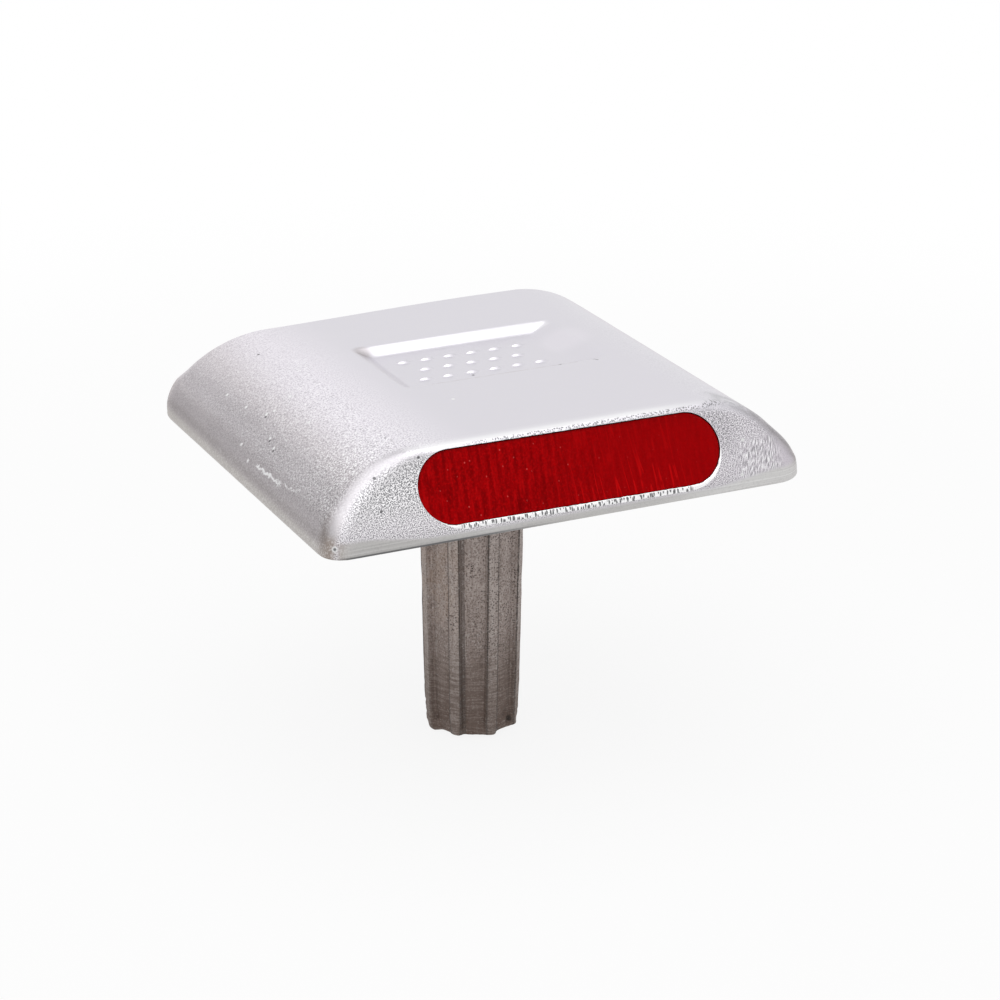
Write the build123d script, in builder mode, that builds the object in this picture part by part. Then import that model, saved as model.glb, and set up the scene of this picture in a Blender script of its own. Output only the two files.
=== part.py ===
from build123d import *
from math import cos, floor, hypot, radians, sin, tan
import os

# Aluminium road stud: a low cast body, a red reflector unit let into each end
# face, and a ribbed cast shank that anchors it in a drilled hole in the road.
# Millimetres and degrees. The origin is the centre of the underside, at road
# level. +Z points up out of the road, the front lens faces -Y, X is the width.

# Casting, outer form
body_width = 100.0
body_depth = 92.8
body_height = 16.3
side_rim_height = 4.4
side_rim_radius = 8.8
side_slope = 45.3
shoulder_radius = 22.0
end_rim_height = 3.0
end_rim_radius = 4.0
end_slope = 64.2
corner_radius = 7.0
edge_radius = 2.0
foot_radius = 0.6

# Panel sunk in the top, with rows of plain raised bars
panel_width = 42.0
panel_length = 26.0
panel_offset_x = 3.0
panel_offset_y = 5.2
panel_depth = 1.8
panel_draft = 48.0
panel_corner_radius = 4.0
bar_length = 3.4
bar_width = 1.3
bar_height = 0.4
bar_pitch = 5.0
bar_row_pitch = 5.4
bars_in_rows = (6, 5, 6)

# Reflector units, measured up the end face from the bend above the rim
lens_length = 62.1
lens_foot_margin = 0.3
lens_head_margin = 0.75
lens_sink = 0.3
lens_thickness = 1.6
lens_edge_radius = 0.25
prism_pitch = 1.05
prism_depth = 0.5
backing_rim_width = 1.6
backing_rim_height = 0.8
backing_floor = 1.0
bed_thickness = 0.4
pocket_clearance = 0.15

# Shank and its seat in the casting
shank_length = 61.4
shank_root_diameter = 22.2
shank_tip_diameter = 19.7
rib_count = 8
rib_width = 2.6
rib_height = 1.2
rib_edge_radius = 0.4
shank_end_radius = 1.0
shank_end_draft = 15.0
seat_depth = 2.0
seat_clearance = 0.3
spigot_diameter = 14.0
spigot_length = 8.0
spigot_chamfer = 0.8

# Keying cells in the underside, which the road adhesive grips
cell_size = 8.0
cell_web = 2.0
cell_depth = 3.0
cell_corner_radius = 1.5
cell_border = 10.5
boss_wall = 6.0

# Sizes that follow from the ones above
side_run = (body_height - side_rim_height) / tan(radians(side_slope))
end_run = (body_height - end_rim_height) / tan(radians(end_slope))
end_face_height = (body_height - end_rim_height) / sin(radians(end_slope))
lens_height = end_face_height - lens_foot_margin - lens_head_margin
lens_rise = lens_foot_margin + lens_height / 2
backing_thickness = backing_rim_height + backing_floor
pocket_depth = lens_sink + lens_thickness + backing_thickness + bed_thickness
pocket_length = lens_length + 2 * pocket_clearance
pocket_height = lens_height + 2 * pocket_clearance
seat_diameter = shank_root_diameter + 2 * seat_clearance
panel_floor_level = body_height - panel_depth
column_count = floor((lens_length - lens_height) / prism_pitch)
column_height = lens_height - 2 * backing_rim_width - 2 * pocket_clearance


def end_face_plane(facing, sink):
    """Plane on the middle of a lens, the given depth below the end face; facing is -1 for the front."""
    lean = radians(end_slope)
    out_y, out_z = facing * sin(lean), cos(lean)
    middle_y = facing * (body_depth / 2 - lens_rise * cos(lean))
    middle_z = end_rim_height + lens_rise * sin(lean)
    origin = (0, middle_y - sink * out_y, middle_z - sink * out_z)
    return Plane(origin=origin, x_dir=(-facing, 0, 0), z_dir=(0, out_y, out_z))


def spread(count, pitch):
    """Evenly spaced positions about zero."""
    return [(i - (count - 1) / 2) * pitch for i in range(count)]


ENDS = {"front": -1, "rear": 1}
os.makedirs("parts", exist_ok=True)

# Body casting: the side outline and the end outline, each carried right
# through, keep only what they share, and the plan rounds off the corners.
with BuildPart() as body_casting:
    with BuildSketch(Plane.XZ):
        with BuildLine():
            half = body_width / 2
            Polyline(
                (-half, 0),
                (-half, side_rim_height),
                (side_run - half, body_height),
                (half - side_run, body_height),
                (half, side_rim_height),
                (half, 0),
                close=True,
            )
        make_face()
        fillet(vertices().group_by(Axis.Y)[-1], shoulder_radius)
        fillet(vertices().group_by(Axis.Y)[1], side_rim_radius)
    extrude(amount=body_depth / 2, both=True)

    with BuildSketch(Plane.YZ):
        with BuildLine():
            half = body_depth / 2
            Polyline(
                (-half, 0),
                (-half, end_rim_height),
                (end_run - half, body_height),
                (half - end_run, body_height),
                (half, end_rim_height),
                (half, 0),
                close=True,
            )
        make_face()
        fillet(vertices().group_by(Axis.Y)[1], end_rim_radius)
    extrude(amount=body_width / 2, both=True, mode=Mode.INTERSECT)

    # The hips and the top edge of each end face form one smooth run.
    hips = edges().filter_by(Axis.X, reverse=True).filter_by(Axis.Y, reverse=True)
    top_edges = edges().filter_by(Axis.X).group_by(Axis.Z)[-1]
    fillet(hips + top_edges, edge_radius)

    with BuildSketch(Plane.XY):
        RectangleRounded(body_width, body_depth, corner_radius)
    extrude(amount=body_height, mode=Mode.INTERSECT)
    fillet(faces().sort_by(Axis.Z)[0].outer_wire().edges(), foot_radius)

    # Sunk panel with sloping walls
    with BuildSketch(Plane.XY.offset(body_height)):
        with Locations((panel_offset_x, panel_offset_y)):
            RectangleRounded(panel_width, panel_length, panel_corner_radius)
    extrude(amount=-panel_depth, taper=panel_draft, mode=Mode.SUBTRACT)

    # Rows of plain raised bars on the panel's floor
    with BuildSketch(Plane.XY.offset(panel_floor_level)):
        row_offsets = spread(len(bars_in_rows), bar_row_pitch)
        for count, row_offset in zip(bars_in_rows, row_offsets):
            with Locations((panel_offset_x, panel_offset_y + row_offset)):
                with GridLocations(bar_pitch, bar_row_pitch, count, 1):
                    SlotOverall(bar_length, bar_width)
    extrude(amount=bar_height)

    # A pocket in each end face for its reflector unit
    for facing in ENDS.values():
        with BuildSketch(end_face_plane(facing, pocket_depth)):
            SlotOverall(pocket_length, pocket_height)
        extrude(amount=pocket_depth + lens_sink, mode=Mode.SUBTRACT)

    # Stepped seat for the shank
    with BuildSketch(Plane.XY):
        Circle(seat_diameter / 2)
    extrude(amount=seat_depth, mode=Mode.SUBTRACT)
    with BuildSketch(Plane.XY.offset(seat_depth)):
        Circle(spigot_diameter / 2)
    extrude(amount=spigot_length, mode=Mode.SUBTRACT)

    # Keying cells, clear of the boss around the shank
    cell_pitch = cell_size + cell_web
    columns = floor((body_width - 2 * cell_border + cell_web) / cell_pitch)
    rows = floor((body_depth - 2 * cell_border + cell_web) / cell_pitch)
    boss_reach = seat_diameter / 2 + boss_wall + cell_size / 2
    cell_centres = [
        (x, y)
        for x in spread(columns, cell_pitch)
        for y in spread(rows, cell_pitch)
        if hypot(x, y) > boss_reach
    ]
    with BuildSketch(Plane.XY):
        with Locations(*cell_centres):
            RectangleRounded(cell_size, cell_size, cell_corner_radius)
    extrude(amount=cell_depth, mode=Mode.SUBTRACT)

body_casting.part.label = "body_casting"
export_step(body_casting.part, "parts/body_casting.step")

# Anchor shank: the ribbed section tapers from root to tip, is trimmed to a
# rounded end, and carries a plain spigot that is pressed into the casting.
with BuildPart() as shank_end_trim:
    with BuildSketch(Plane.XZ):
        with BuildLine():
            reach = seat_diameter / 2
            foot = shank_tip_diameter / 2 - shank_end_radius * tan(radians(shank_end_draft))
            flank_top = (reach - foot) / tan(radians(shank_end_draft)) - shank_length
            Polyline(
                (0, seat_depth),
                (reach, seat_depth),
                (reach, flank_top),
                (foot, -shank_length),
                (0, -shank_length),
                close=True,
            )
        make_face()
        fillet(vertices().group_by(Axis.Y)[0].sort_by(Axis.X)[-1], shank_end_radius)
    revolve(axis=Axis.Z)

with BuildPart() as anchor_shank:
    for level, diameter in ((seat_depth, shank_root_diameter), (-shank_length, shank_tip_diameter)):
        with BuildSketch(Plane.XY.offset(level)):
            Circle(diameter / 2 - rib_height)
            with PolarLocations(diameter / 4, rib_count):
                Rectangle(diameter / 2, rib_width)
            fillet(vertices(), rib_edge_radius)
    loft(ruled=True)
    add(shank_end_trim.part, mode=Mode.INTERSECT)
    with BuildSketch(Plane.XY.offset(seat_depth)):
        Circle(spigot_diameter / 2)
    extrude(amount=spigot_length)
    chamfer(edges().group_by(Axis.Z)[-1], spigot_chamfer)

anchor_shank.part.label = "anchor_shank"
export_step(anchor_shank.part, "parts/anchor_shank.step")

# Reflector units: from the pocket's floor outwards, an adhesive bed, a backing
# tray and a lens whose prism columns hang in the tray's sealed air space.
for end, facing in ENDS.items():
    lens_back = end_face_plane(facing, lens_sink + lens_thickness)

    with BuildPart() as adhesive_bed:
        with BuildSketch(end_face_plane(facing, pocket_depth)):
            SlotOverall(pocket_length, pocket_height)
        extrude(amount=bed_thickness)
    adhesive_bed.part.label = f"{end}_adhesive_bed"
    export_step(adhesive_bed.part, f"parts/{end}_adhesive_bed.step")

    with BuildPart() as lens_backing:
        with BuildSketch(end_face_plane(facing, pocket_depth - bed_thickness)):
            SlotOverall(lens_length, lens_height)
        extrude(amount=backing_thickness)
        with BuildSketch(lens_back):
            SlotOverall(lens_length - 2 * backing_rim_width, lens_height - 2 * backing_rim_width)
        extrude(amount=-backing_rim_height, mode=Mode.SUBTRACT)
    lens_backing.part.label = f"{end}_lens_backing"
    export_step(lens_backing.part, f"parts/{end}_lens_backing.step")

    with BuildPart() as prism_columns:
        with BuildSketch(Plane(lens_back.origin, x_dir=lens_back.x_dir, z_dir=-lens_back.y_dir)):
            with BuildLine():
                crests = [(x, -prism_depth) for x in spread(column_count, prism_pitch)]
                valleys = [(x - prism_pitch / 2, 0) for x, _ in crests]
                zigzag = [point for pair in zip(valleys, crests) for point in pair]
                end_x = column_count * prism_pitch / 2
                root = lens_thickness / 2
                Polyline(*zigzag, (end_x, 0), (end_x, root), (-end_x, root), close=True)
            make_face()
        extrude(amount=column_height / 2, both=True)

    with BuildPart() as lens:
        with BuildSketch(lens_back):
            SlotOverall(lens_length, lens_height)
        extrude(amount=lens_thickness)
        outer_face = faces().sort_by(Axis(lens_back.origin, lens_back.z_dir))[-1]
        fillet(outer_face.edges(), lens_edge_radius)
        add(prism_columns.part)
    lens.part.label = f"{end}_lens"
    export_step(lens.part, f"parts/{end}_lens.step")
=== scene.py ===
"""Aluminium road stud: cast body, red reflector in each end face, ribbed anchor shank.

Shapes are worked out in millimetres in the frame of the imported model: the origin is
the centre of the underside, +Z points up and the front lens faces -Y.
"""

import logging
from dataclasses import dataclass
from enum import Enum
from functools import reduce
from math import asin, cos, pi, radians, sin, tan
from operator import mul
from typing import Any, Union

import bpy
import numpy as np
from mathutils import Matrix


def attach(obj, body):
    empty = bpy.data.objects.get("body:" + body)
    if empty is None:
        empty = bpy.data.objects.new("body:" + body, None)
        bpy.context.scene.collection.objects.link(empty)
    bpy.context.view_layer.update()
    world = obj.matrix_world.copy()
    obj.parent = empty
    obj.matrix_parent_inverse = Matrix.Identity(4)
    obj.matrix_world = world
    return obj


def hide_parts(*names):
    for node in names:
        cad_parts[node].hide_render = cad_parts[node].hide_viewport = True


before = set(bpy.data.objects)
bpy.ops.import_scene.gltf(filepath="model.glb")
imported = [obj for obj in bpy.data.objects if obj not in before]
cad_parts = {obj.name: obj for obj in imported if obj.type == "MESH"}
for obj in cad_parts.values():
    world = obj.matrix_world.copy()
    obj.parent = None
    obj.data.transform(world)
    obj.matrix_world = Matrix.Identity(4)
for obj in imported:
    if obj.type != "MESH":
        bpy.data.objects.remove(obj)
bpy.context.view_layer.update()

Array = np.ndarray
Number = Union[float, Array]
Colour = tuple[float, float, float]
Point = tuple[float, float, float]
Place = tuple[float, float]
# A span eases from 0 at its first value to 1 at its second. A zone multiplies spans of named measures.
Span = tuple[float, float]
Zone = tuple[tuple[str, float, float], ...]

METRES = 0.001
SLACK = 1e-6
LOG = logging.getLogger("road_stud")


class End(Enum):
    """The two end faces, by the direction along Y in which each one looks."""

    FRONT = -1
    REAR = 1

    @property
    def label(self) -> str:
        """Name of the end in node and piece names."""
        return self.name.lower()


class Slot(Enum):
    """Names of the record's material slots; nothing in this script uses them."""

    CAST = "cast_body"
    SHANK = "raw_shank"
    LENS = "red_lens"


def smooth_step(value: Array, low: float, high: float) -> Array:
    """Ease from 0 at low to 1 at high with the cubic 3u^2 - 2u^3; low may be the greater."""
    u = np.clip((value - low) / (high - low), 0.0, 1.0)
    return u * u * (3.0 - 2.0 * u)


def share_of(zone: Zone, measures: dict[str, Array]) -> Array:
    """Product of a zone's spans at each point."""
    return reduce(mul, [smooth_step(measures[name], low, high) for name, low, high in zone])


def soft_ramp(value: Array, softness: float) -> Array:
    """Zero below 0 and the value itself above, with a hyperbola of that width between."""
    return 0.5 * (value + np.sqrt(value * value + softness * softness))


def round_max(a: Array, b: Array, radius: Number, cosine: Number) -> Array:
    """Greater of two distances, with the corner between them rounded to a radius.

    Both walls move in by the radius. Outside the corner that this leaves, the distance
    is the one to its vertex, sqrt(a^2 + b^2 - 2 a b cos) / sin, less the radius.

    Args:
        a: Distance to the first wall, negative inside.
        b: Distance to the second wall, negative inside.
        radius: Radius of the rounded corner.
        cosine: Cosine of the angle between the normals of the walls.

    Returns:
        Signed distance to the rounded corner.
    """
    first, second = a + radius, b + radius
    in_corner = (first > cosine * second) & (second > cosine * first)
    square = first * first + second * second - 2.0 * cosine * first * second
    corner = np.sqrt(np.maximum(square, 0.0)) / np.sqrt(1.0 - np.square(cosine)) - radius
    return np.where(in_corner, corner, np.maximum(a, b))


def spaced(stops: list[float], counts: list[int]) -> Array:
    """Points from stop to stop, with that many steps between neighbours, and the last stop."""
    runs = zip(stops, stops[1:], counts)
    parts = [np.linspace(start, stop, count, endpoint=False) for start, stop, count in runs]
    return np.append(np.concatenate(parts), stops[-1])


def evened(values: Array, passes: int) -> Array:
    """Values round a closed ring, each averaged with its neighbours that many times."""
    for _ in range(passes):
        values = (np.roll(values, 1, axis=0) + 2.0 * values + np.roll(values, -1, axis=0)) / 4.0
    return values


def arc(centre: Place, radius: float, angles: Array) -> Array:
    """Points of an arc about a centre, at those angles."""
    return np.array(centre) + radius * np.stack([np.cos(angles), np.sin(angles)], axis=-1)


def raised(flat: Array, level: Number) -> Array:
    """Points of a plane with their height as third axis."""
    return np.concatenate([flat, np.broadcast_to(level, flat.shape[:-1])[..., None]], axis=-1)


@dataclass(frozen=True)
class Undulation:
    """Gentle unevenness of a cast skin: a sum of plane waves in random directions."""

    seed: int
    wavelength: float
    waves: int = 28
    spread: Place = (0.7, 1.5)

    def at(self, points: Array) -> Array:
        """Height of the waves at each point, with a standard deviation of about 1."""
        draw = np.random.default_rng(self.seed)
        ways = draw.normal(size=(self.waves, 3))
        ways /= np.linalg.norm(ways, axis=1, keepdims=True)
        pace = 2.0 * pi / (self.wavelength * draw.uniform(*self.spread, self.waves))
        phase = draw.uniform(0.0, 2.0 * pi, self.waves)
        turns = points @ (ways * pace[:, None]).T + phase
        return np.sin(turns).sum(axis=-1) * np.sqrt(2.0 / self.waves)


def ring_grid_faces(rings: int, columns: int) -> tuple[Array, Array]:
    """Faces of a closed skin of rings whose first and last ring shrink to one vertex.

    The vertices are the first pole, the rings between the poles in order, and the last
    pole. Neighbouring rings are joined by quads and each pole by a fan of triangles.

    Args:
        rings: Number of rings between the poles.
        columns: Vertices in each ring.

    Returns:
        Vertex indices of the quads and of the triangles.
    """
    here = np.arange(columns)
    after = (here + 1) % columns
    starts = 1 + columns * np.arange(rings)[:, None]
    near, far = starts[:-1], starts[1:]
    quads = np.stack([near + here, near + after, far + after, far + here], axis=-1).reshape(-1, 4)
    last = 1 + columns * rings
    first_fan = np.stack([np.zeros_like(here), 1 + after, 1 + here], axis=-1)
    last_fan = np.stack([np.full_like(here, last), starts[-1] + here, starts[-1] + after], axis=-1)
    return quads, np.concatenate([first_fan, last_fan])


def link(name: str, data: Any) -> bpy.types.Object:
    """A new object around that data, linked into the scene."""
    made = bpy.data.objects.new(name, data)
    bpy.context.scene.collection.objects.link(made)
    return made


def pose(right: Array, back: Array, spot: Array) -> Matrix:
    """World matrix of a lamp or camera from its right, its back and its place in millimetres."""
    turned = np.eye(4)
    turned[:3, :4] = np.stack([right, np.cross(back, right), back, spot * METRES], axis=-1)
    return Matrix(turned.tolist())


def make_piece(
    name: str, grid: Array, replaces: str, attributes: dict[str, Array], sharp_angle: float
) -> bpy.types.Object:
    """Put a closed ring grid into a mesh object that stands for a CAD node.

    Args:
        name: Name of the piece.
        grid: Points in millimetres, rings by columns by 3. The first and last ring are poles.
        replaces: CAD node that the piece stands for.
        attributes: Values per vertex, rings by columns, that the finish reads by name.
        sharp_angle: Angle in degrees above which an edge shades sharp.

    Returns:
        The new object, riding on the root body.
    """
    rings, columns = grid.shape[0] - 2, grid.shape[1]
    corners = np.concatenate([grid[:1, 0], grid[1:-1].reshape(-1, 3), grid[-1:, 0]]) * METRES
    quads, fans = ring_grid_faces(rings, columns)
    mesh = bpy.data.meshes.new(name)
    mesh.from_pydata(corners.tolist(), [], quads.tolist() + fans.tolist())
    for label, values in attributes.items():
        flat = np.concatenate([values[:1, 0], values[1:-1].ravel(), values[-1:, 0]])
        layer = mesh.attributes.new(label, "FLOAT", "POINT")
        layer.data.foreach_set("value", flat.astype(np.float32))
    mesh.shade_smooth()
    mesh.set_sharp_from_angle(angle=radians(sharp_angle))
    piece = link(name, mesh)
    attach(piece, "root")
    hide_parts(replaces)
    LOG.info("%s: %d faces", name, len(mesh.polygons))
    return piece


class Value:
    """A number on a shader graph; arithmetic on it adds Math nodes."""

    def __init__(self, graph: "ShaderGraph", socket: bpy.types.NodeSocket) -> None:
        """Keep the socket that carries the number and the graph that it belongs to."""
        self.graph = graph
        self.socket = socket

    def _math(self, operation: str, *terms: Any) -> "Value":
        """Add one Math node with that operation on numbers or values."""
        return self.graph.node("ShaderNodeMath", {"operation": operation}, dict(enumerate(terms)))

    def __add__(self, other: Any) -> "Value":
        """This value plus another."""
        return self._math("ADD", self, other)

    __radd__ = __add__

    def __mul__(self, other: Any) -> "Value":
        """This value times another."""
        return self._math("MULTIPLY", self, other)

    __rmul__ = __mul__

    def __sub__(self, other: Any) -> "Value":
        """This value less another."""
        return self._math("SUBTRACT", self, other)

    def __rsub__(self, other: Any) -> "Value":
        """Another number less this value."""
        return self._math("SUBTRACT", other, self)

    def sine(self) -> "Value":
        """Sine of this value, in radians."""
        return self._math("SINE", self)

    def at_most(self, other: Any) -> "Value":
        """The smaller of two values."""
        return self._math("MINIMUM", self, other)

    def at_least(self, other: Any) -> "Value":
        """The greater of two values."""
        return self._math("MAXIMUM", self, other)

    def ease(self, low: float, high: float) -> "Value":
        """Ease from 0 at low to 1 at high; low may be the greater."""
        settings = {"interpolation_type": "SMOOTHSTEP"}
        return self.graph.node("ShaderNodeMapRange", settings, {0: self, 1: low, 2: high})


class ShaderGraph:
    """Node graph of one material or of the world."""

    def __init__(self, tree: bpy.types.NodeTree) -> None:
        """Start from an empty tree."""
        self.tree = tree
        tree.nodes.clear()

    def raw(self, kind: str, settings: dict[str, Any], inputs: dict[Any, Any]) -> bpy.types.Node:
        """Add a node, set its own settings, then its sockets.

        Args:
            kind: Blender's type name of the node.
            settings: Attributes of the node, set before its sockets.
            inputs: Sockets by name or number, each with a Value, a socket or a constant.

        Returns:
            The new node.
        """
        made = self.tree.nodes.new(kind)
        for key, setting in settings.items():
            setattr(made, key, setting)
        for key, given in inputs.items():
            given = given.socket if isinstance(given, Value) else given
            if isinstance(given, bpy.types.NodeSocket):
                self.tree.links.new(given, made.inputs[key])
            elif isinstance(given, tuple) and made.inputs[key].type == "RGBA":
                made.inputs[key].default_value = (*given, 1.0)
            else:
                made.inputs[key].default_value = given
        return made

    def node(self, kind: str, settings: dict[str, Any], inputs: dict[Any, Any], output: Any = 0) -> Value:
        """Add a node and take one of its outputs as a value."""
        return Value(self, self.raw(kind, settings, inputs).outputs[output])

    def vector_math(self, operation: str, inputs: dict[Any, Any], output: str = "Vector") -> Value:
        """Add one Vector Math node and take its vector or its number."""
        return self.node("ShaderNodeVectorMath", {"operation": operation}, inputs, output)

    def zone(self, zone: Zone, measures: dict[str, Value]) -> Value:
        """Product of a zone's spans at the shaded point."""
        return reduce(mul, [measures[name].ease(low, high) for name, low, high in zone])

    def shown_rays(self) -> Value:
        """One for rays from the camera, a mirror or glass, and nought for the rest."""
        path = self.raw("ShaderNodeLightPath", {}, {})
        kinds = ("Camera", "Glossy", "Transmission")
        return reduce(Value.at_least, [Value(self, path.outputs[f"Is {kind} Ray"]) for kind in kinds])

    def millimetres(self) -> Value:
        """Object coordinates in millimetres, as a vector."""
        return self.scaled(self.node("ShaderNodeTexCoord", {}, {}, "Object"), (1.0 / METRES,) * 3)

    def scaled(self, vector: Value, factors: Point) -> Value:
        """A vector times a factor on each axis."""
        return self.vector_math("MULTIPLY", {0: vector, 1: factors})

    def axes(self, vector: Value) -> tuple[Value, Value, Value]:
        """X, Y and Z of a vector."""
        parted = self.raw("ShaderNodeSeparateXYZ", {}, {0: vector})
        return tuple(Value(self, parted.outputs[axis]) for axis in range(3))

    def vector(self, x: Any, y: Any, z: Any) -> Value:
        """A vector from three numbers or values."""
        return self.node("ShaderNodeCombineXYZ", {}, {0: x, 1: y, 2: z})

    def attribute(self, name: str) -> Value:
        """A value that the mesh holds at each vertex."""
        return self.node("ShaderNodeAttribute", {"attribute_name": name}, {}, "Fac")

    def noise(self, vector: Value, scale: float, detail: float = 1.0, roughness: float = 0.5) -> Value:
        """Cloud-like noise around 0.5, with that many features per unit of the vector."""
        wanted = {"Vector": vector, "Scale": scale, "Detail": detail, "Roughness": roughness}
        return self.node("ShaderNodeTexNoise", {}, wanted, "Fac")

    def cells(self, vector: Value, scale: float, dimensions: str = "3D") -> Value:
        """Distance to the nearest of scattered points, in space or on the X and Y of the vector."""
        settings = {"voronoi_dimensions": dimensions}
        return self.node("ShaderNodeTexVoronoi", settings, {"Vector": vector, "Scale": scale}, "Distance")

    def mix(self, share: Any, first: Any, second: Any) -> Value:
        """Mix two colours; share 0 gives the first and 1 the second."""
        return self.node("ShaderNodeMix", {"data_type": "RGBA"}, {0: share, 6: first, 7: second}, 2)

    def spots(self, place: Value, centres: tuple[tuple[float, ...], ...], radius: float) -> Value:
        """Share of round spots with soft edges; middles with two axes lie at nought on the third."""
        whole = [(*centre, 0.0)[:3] for centre in centres]
        away = [self.vector_math("DISTANCE", {0: place, 1: centre}, "Value") for centre in whole]
        return reduce(Value.at_most, away).ease(radius, 0.4 * radius)

    def stroke(self, place: Value, start: tuple[float, ...], stop: tuple[float, ...]) -> Value:
        """Distance from a straight stroke; ends with two axes lie at nought on the third."""
        begin, finish = (*start, 0.0)[:3], (*stop, 0.0)[:3]
        length = float(np.linalg.norm(np.subtract(finish, begin)))
        way = tuple(float(part) for part in np.subtract(finish, begin) / length)
        offset = self.vector_math("SUBTRACT", {0: place, 1: begin})
        run = self.vector_math("DOT_PRODUCT", {0: offset, 1: way}, "Value")
        foot = self.vector_math("SCALE", {0: way, "Scale": run.at_least(0.0).at_most(length)})
        return self.vector_math("DISTANCE", {0: offset, 1: foot}, "Value")

    def shaken(self, place: Value, scale: float, reach: float) -> Value:
        """A place shifted by cloud-like noise, by half the reach at most to each side."""
        wanted = {"Vector": place, "Scale": scale, "Detail": 2.0}
        cloud = self.node("ShaderNodeTexNoise", {}, wanted, "Color")
        shift = self.vector_math("SUBTRACT", {0: cloud, 1: (0.5, 0.5, 0.5)})
        return self.vector_math("MULTIPLY_ADD", {0: shift, 1: (reach,) * 3, 2: place})

    def bump(self, height: Value, distance: float, strength: float) -> Value:
        """Normal of a surface with that height field, in metres times distance."""
        wanted = {"Height": height, "Distance": distance, "Strength": strength}
        return self.node("ShaderNodeBump", {}, wanted, "Normal")

    def glow(self, colour: Colour) -> bpy.types.NodeSocket:
        """Light of that colour and of strength 1, given off by the surface."""
        return self.raw("ShaderNodeEmission", {}, {"Color": colour, "Strength": 1.0}).outputs[0]

    def close(self, surface: bpy.types.NodeSocket) -> None:
        """End a material's graph with that surface."""
        self.raw("ShaderNodeOutputMaterial", {}, {"Surface": surface})

    def close_principled(self, sockets: dict[str, Any]) -> None:
        """End a material's graph with a principled surface that takes these sockets."""
        self.close(self.raw("ShaderNodeBsdfPrincipled", {}, sockets).outputs[0])


@dataclass(frozen=True)
class Sheet:
    """Noise over two measures, each at its own pace; sheets of other layers differ."""

    across: float
    up: float
    layer: float = 0.0
    detail: float = 1.0

    def on(self, across: Value, up: Value) -> Value:
        """The noise over these measures."""
        graph = across.graph
        return graph.noise(graph.vector(across * self.across, self.layer, up * self.up), 1.0, self.detail)


@dataclass(frozen=True)
class Scatter:
    """Dots scattered over two measures, each at its own pace, with soft edges."""

    across: float
    up: float
    edge: Span

    def on(self, across: Value, up: Value) -> Value:
        """Share of dots over these measures."""
        graph = across.graph
        away = graph.cells(graph.vector(across * self.across, up * self.up, 0.0), 1.0, "2D")
        return away.ease(*self.edge)


class Paint:
    """Colour of a surface, laid on coat by coat."""

    def __init__(self, graph: ShaderGraph, ground: Any) -> None:
        """Start from the colour of the ground."""
        self.graph = graph
        self.colour = ground

    def coat(self, share: Any, colour: Any) -> None:
        """Lay a colour over what is there; share 0 leaves that as it is and 1 covers it."""
        self.colour = self.graph.mix(share, self.colour, colour)


def new_material(name: str) -> tuple[bpy.types.Material, ShaderGraph]:
    """A new material with an empty node graph."""
    material = bpy.data.materials.new(name)
    material.use_nodes = True
    return material, ShaderGraph(material.node_tree)


class CastSkin:
    """What the coats of the cast finish share: measures of the shaded point and three noises."""

    def __init__(self, graph: ShaderGraph, finish: "CastAluminium") -> None:
        """Read the place and lay the noises of a finish."""
        self.graph = graph
        self.place = graph.millimetres()
        self.x, self.y, self.z = graph.axes(self.place)
        self.rise = self.z * (1.0 / sin(radians(finish.body.end_slope)))
        self.plan = graph.vector(self.x, self.y, 0.0)
        self.above = self.z.ease(*finish.top_side)
        self.grain = graph.noise(self.place, finish.grain_pace)
        self.dull = self.grain.ease(0.5, 0.32)
        self.cloud = graph.noise(self.place, finish.cloud_pace, 2.0)
        self.patch = graph.noise(self.place, finish.patch_pace)

    def zone(self, zone: Zone) -> Value:
        """Product of a zone's spans of X, Y, Z and the patchy noise."""
        return self.graph.zone(zone, {"x": self.x, "y": self.y, "z": self.z, "patch": self.patch})


@dataclass(frozen=True)
class Marks:
    """Small bright specks and dark pits on one side of the casting, each by its place there."""

    side: Zone
    specks: tuple[Place, ...]
    pits: tuple[Place, ...]


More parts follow.
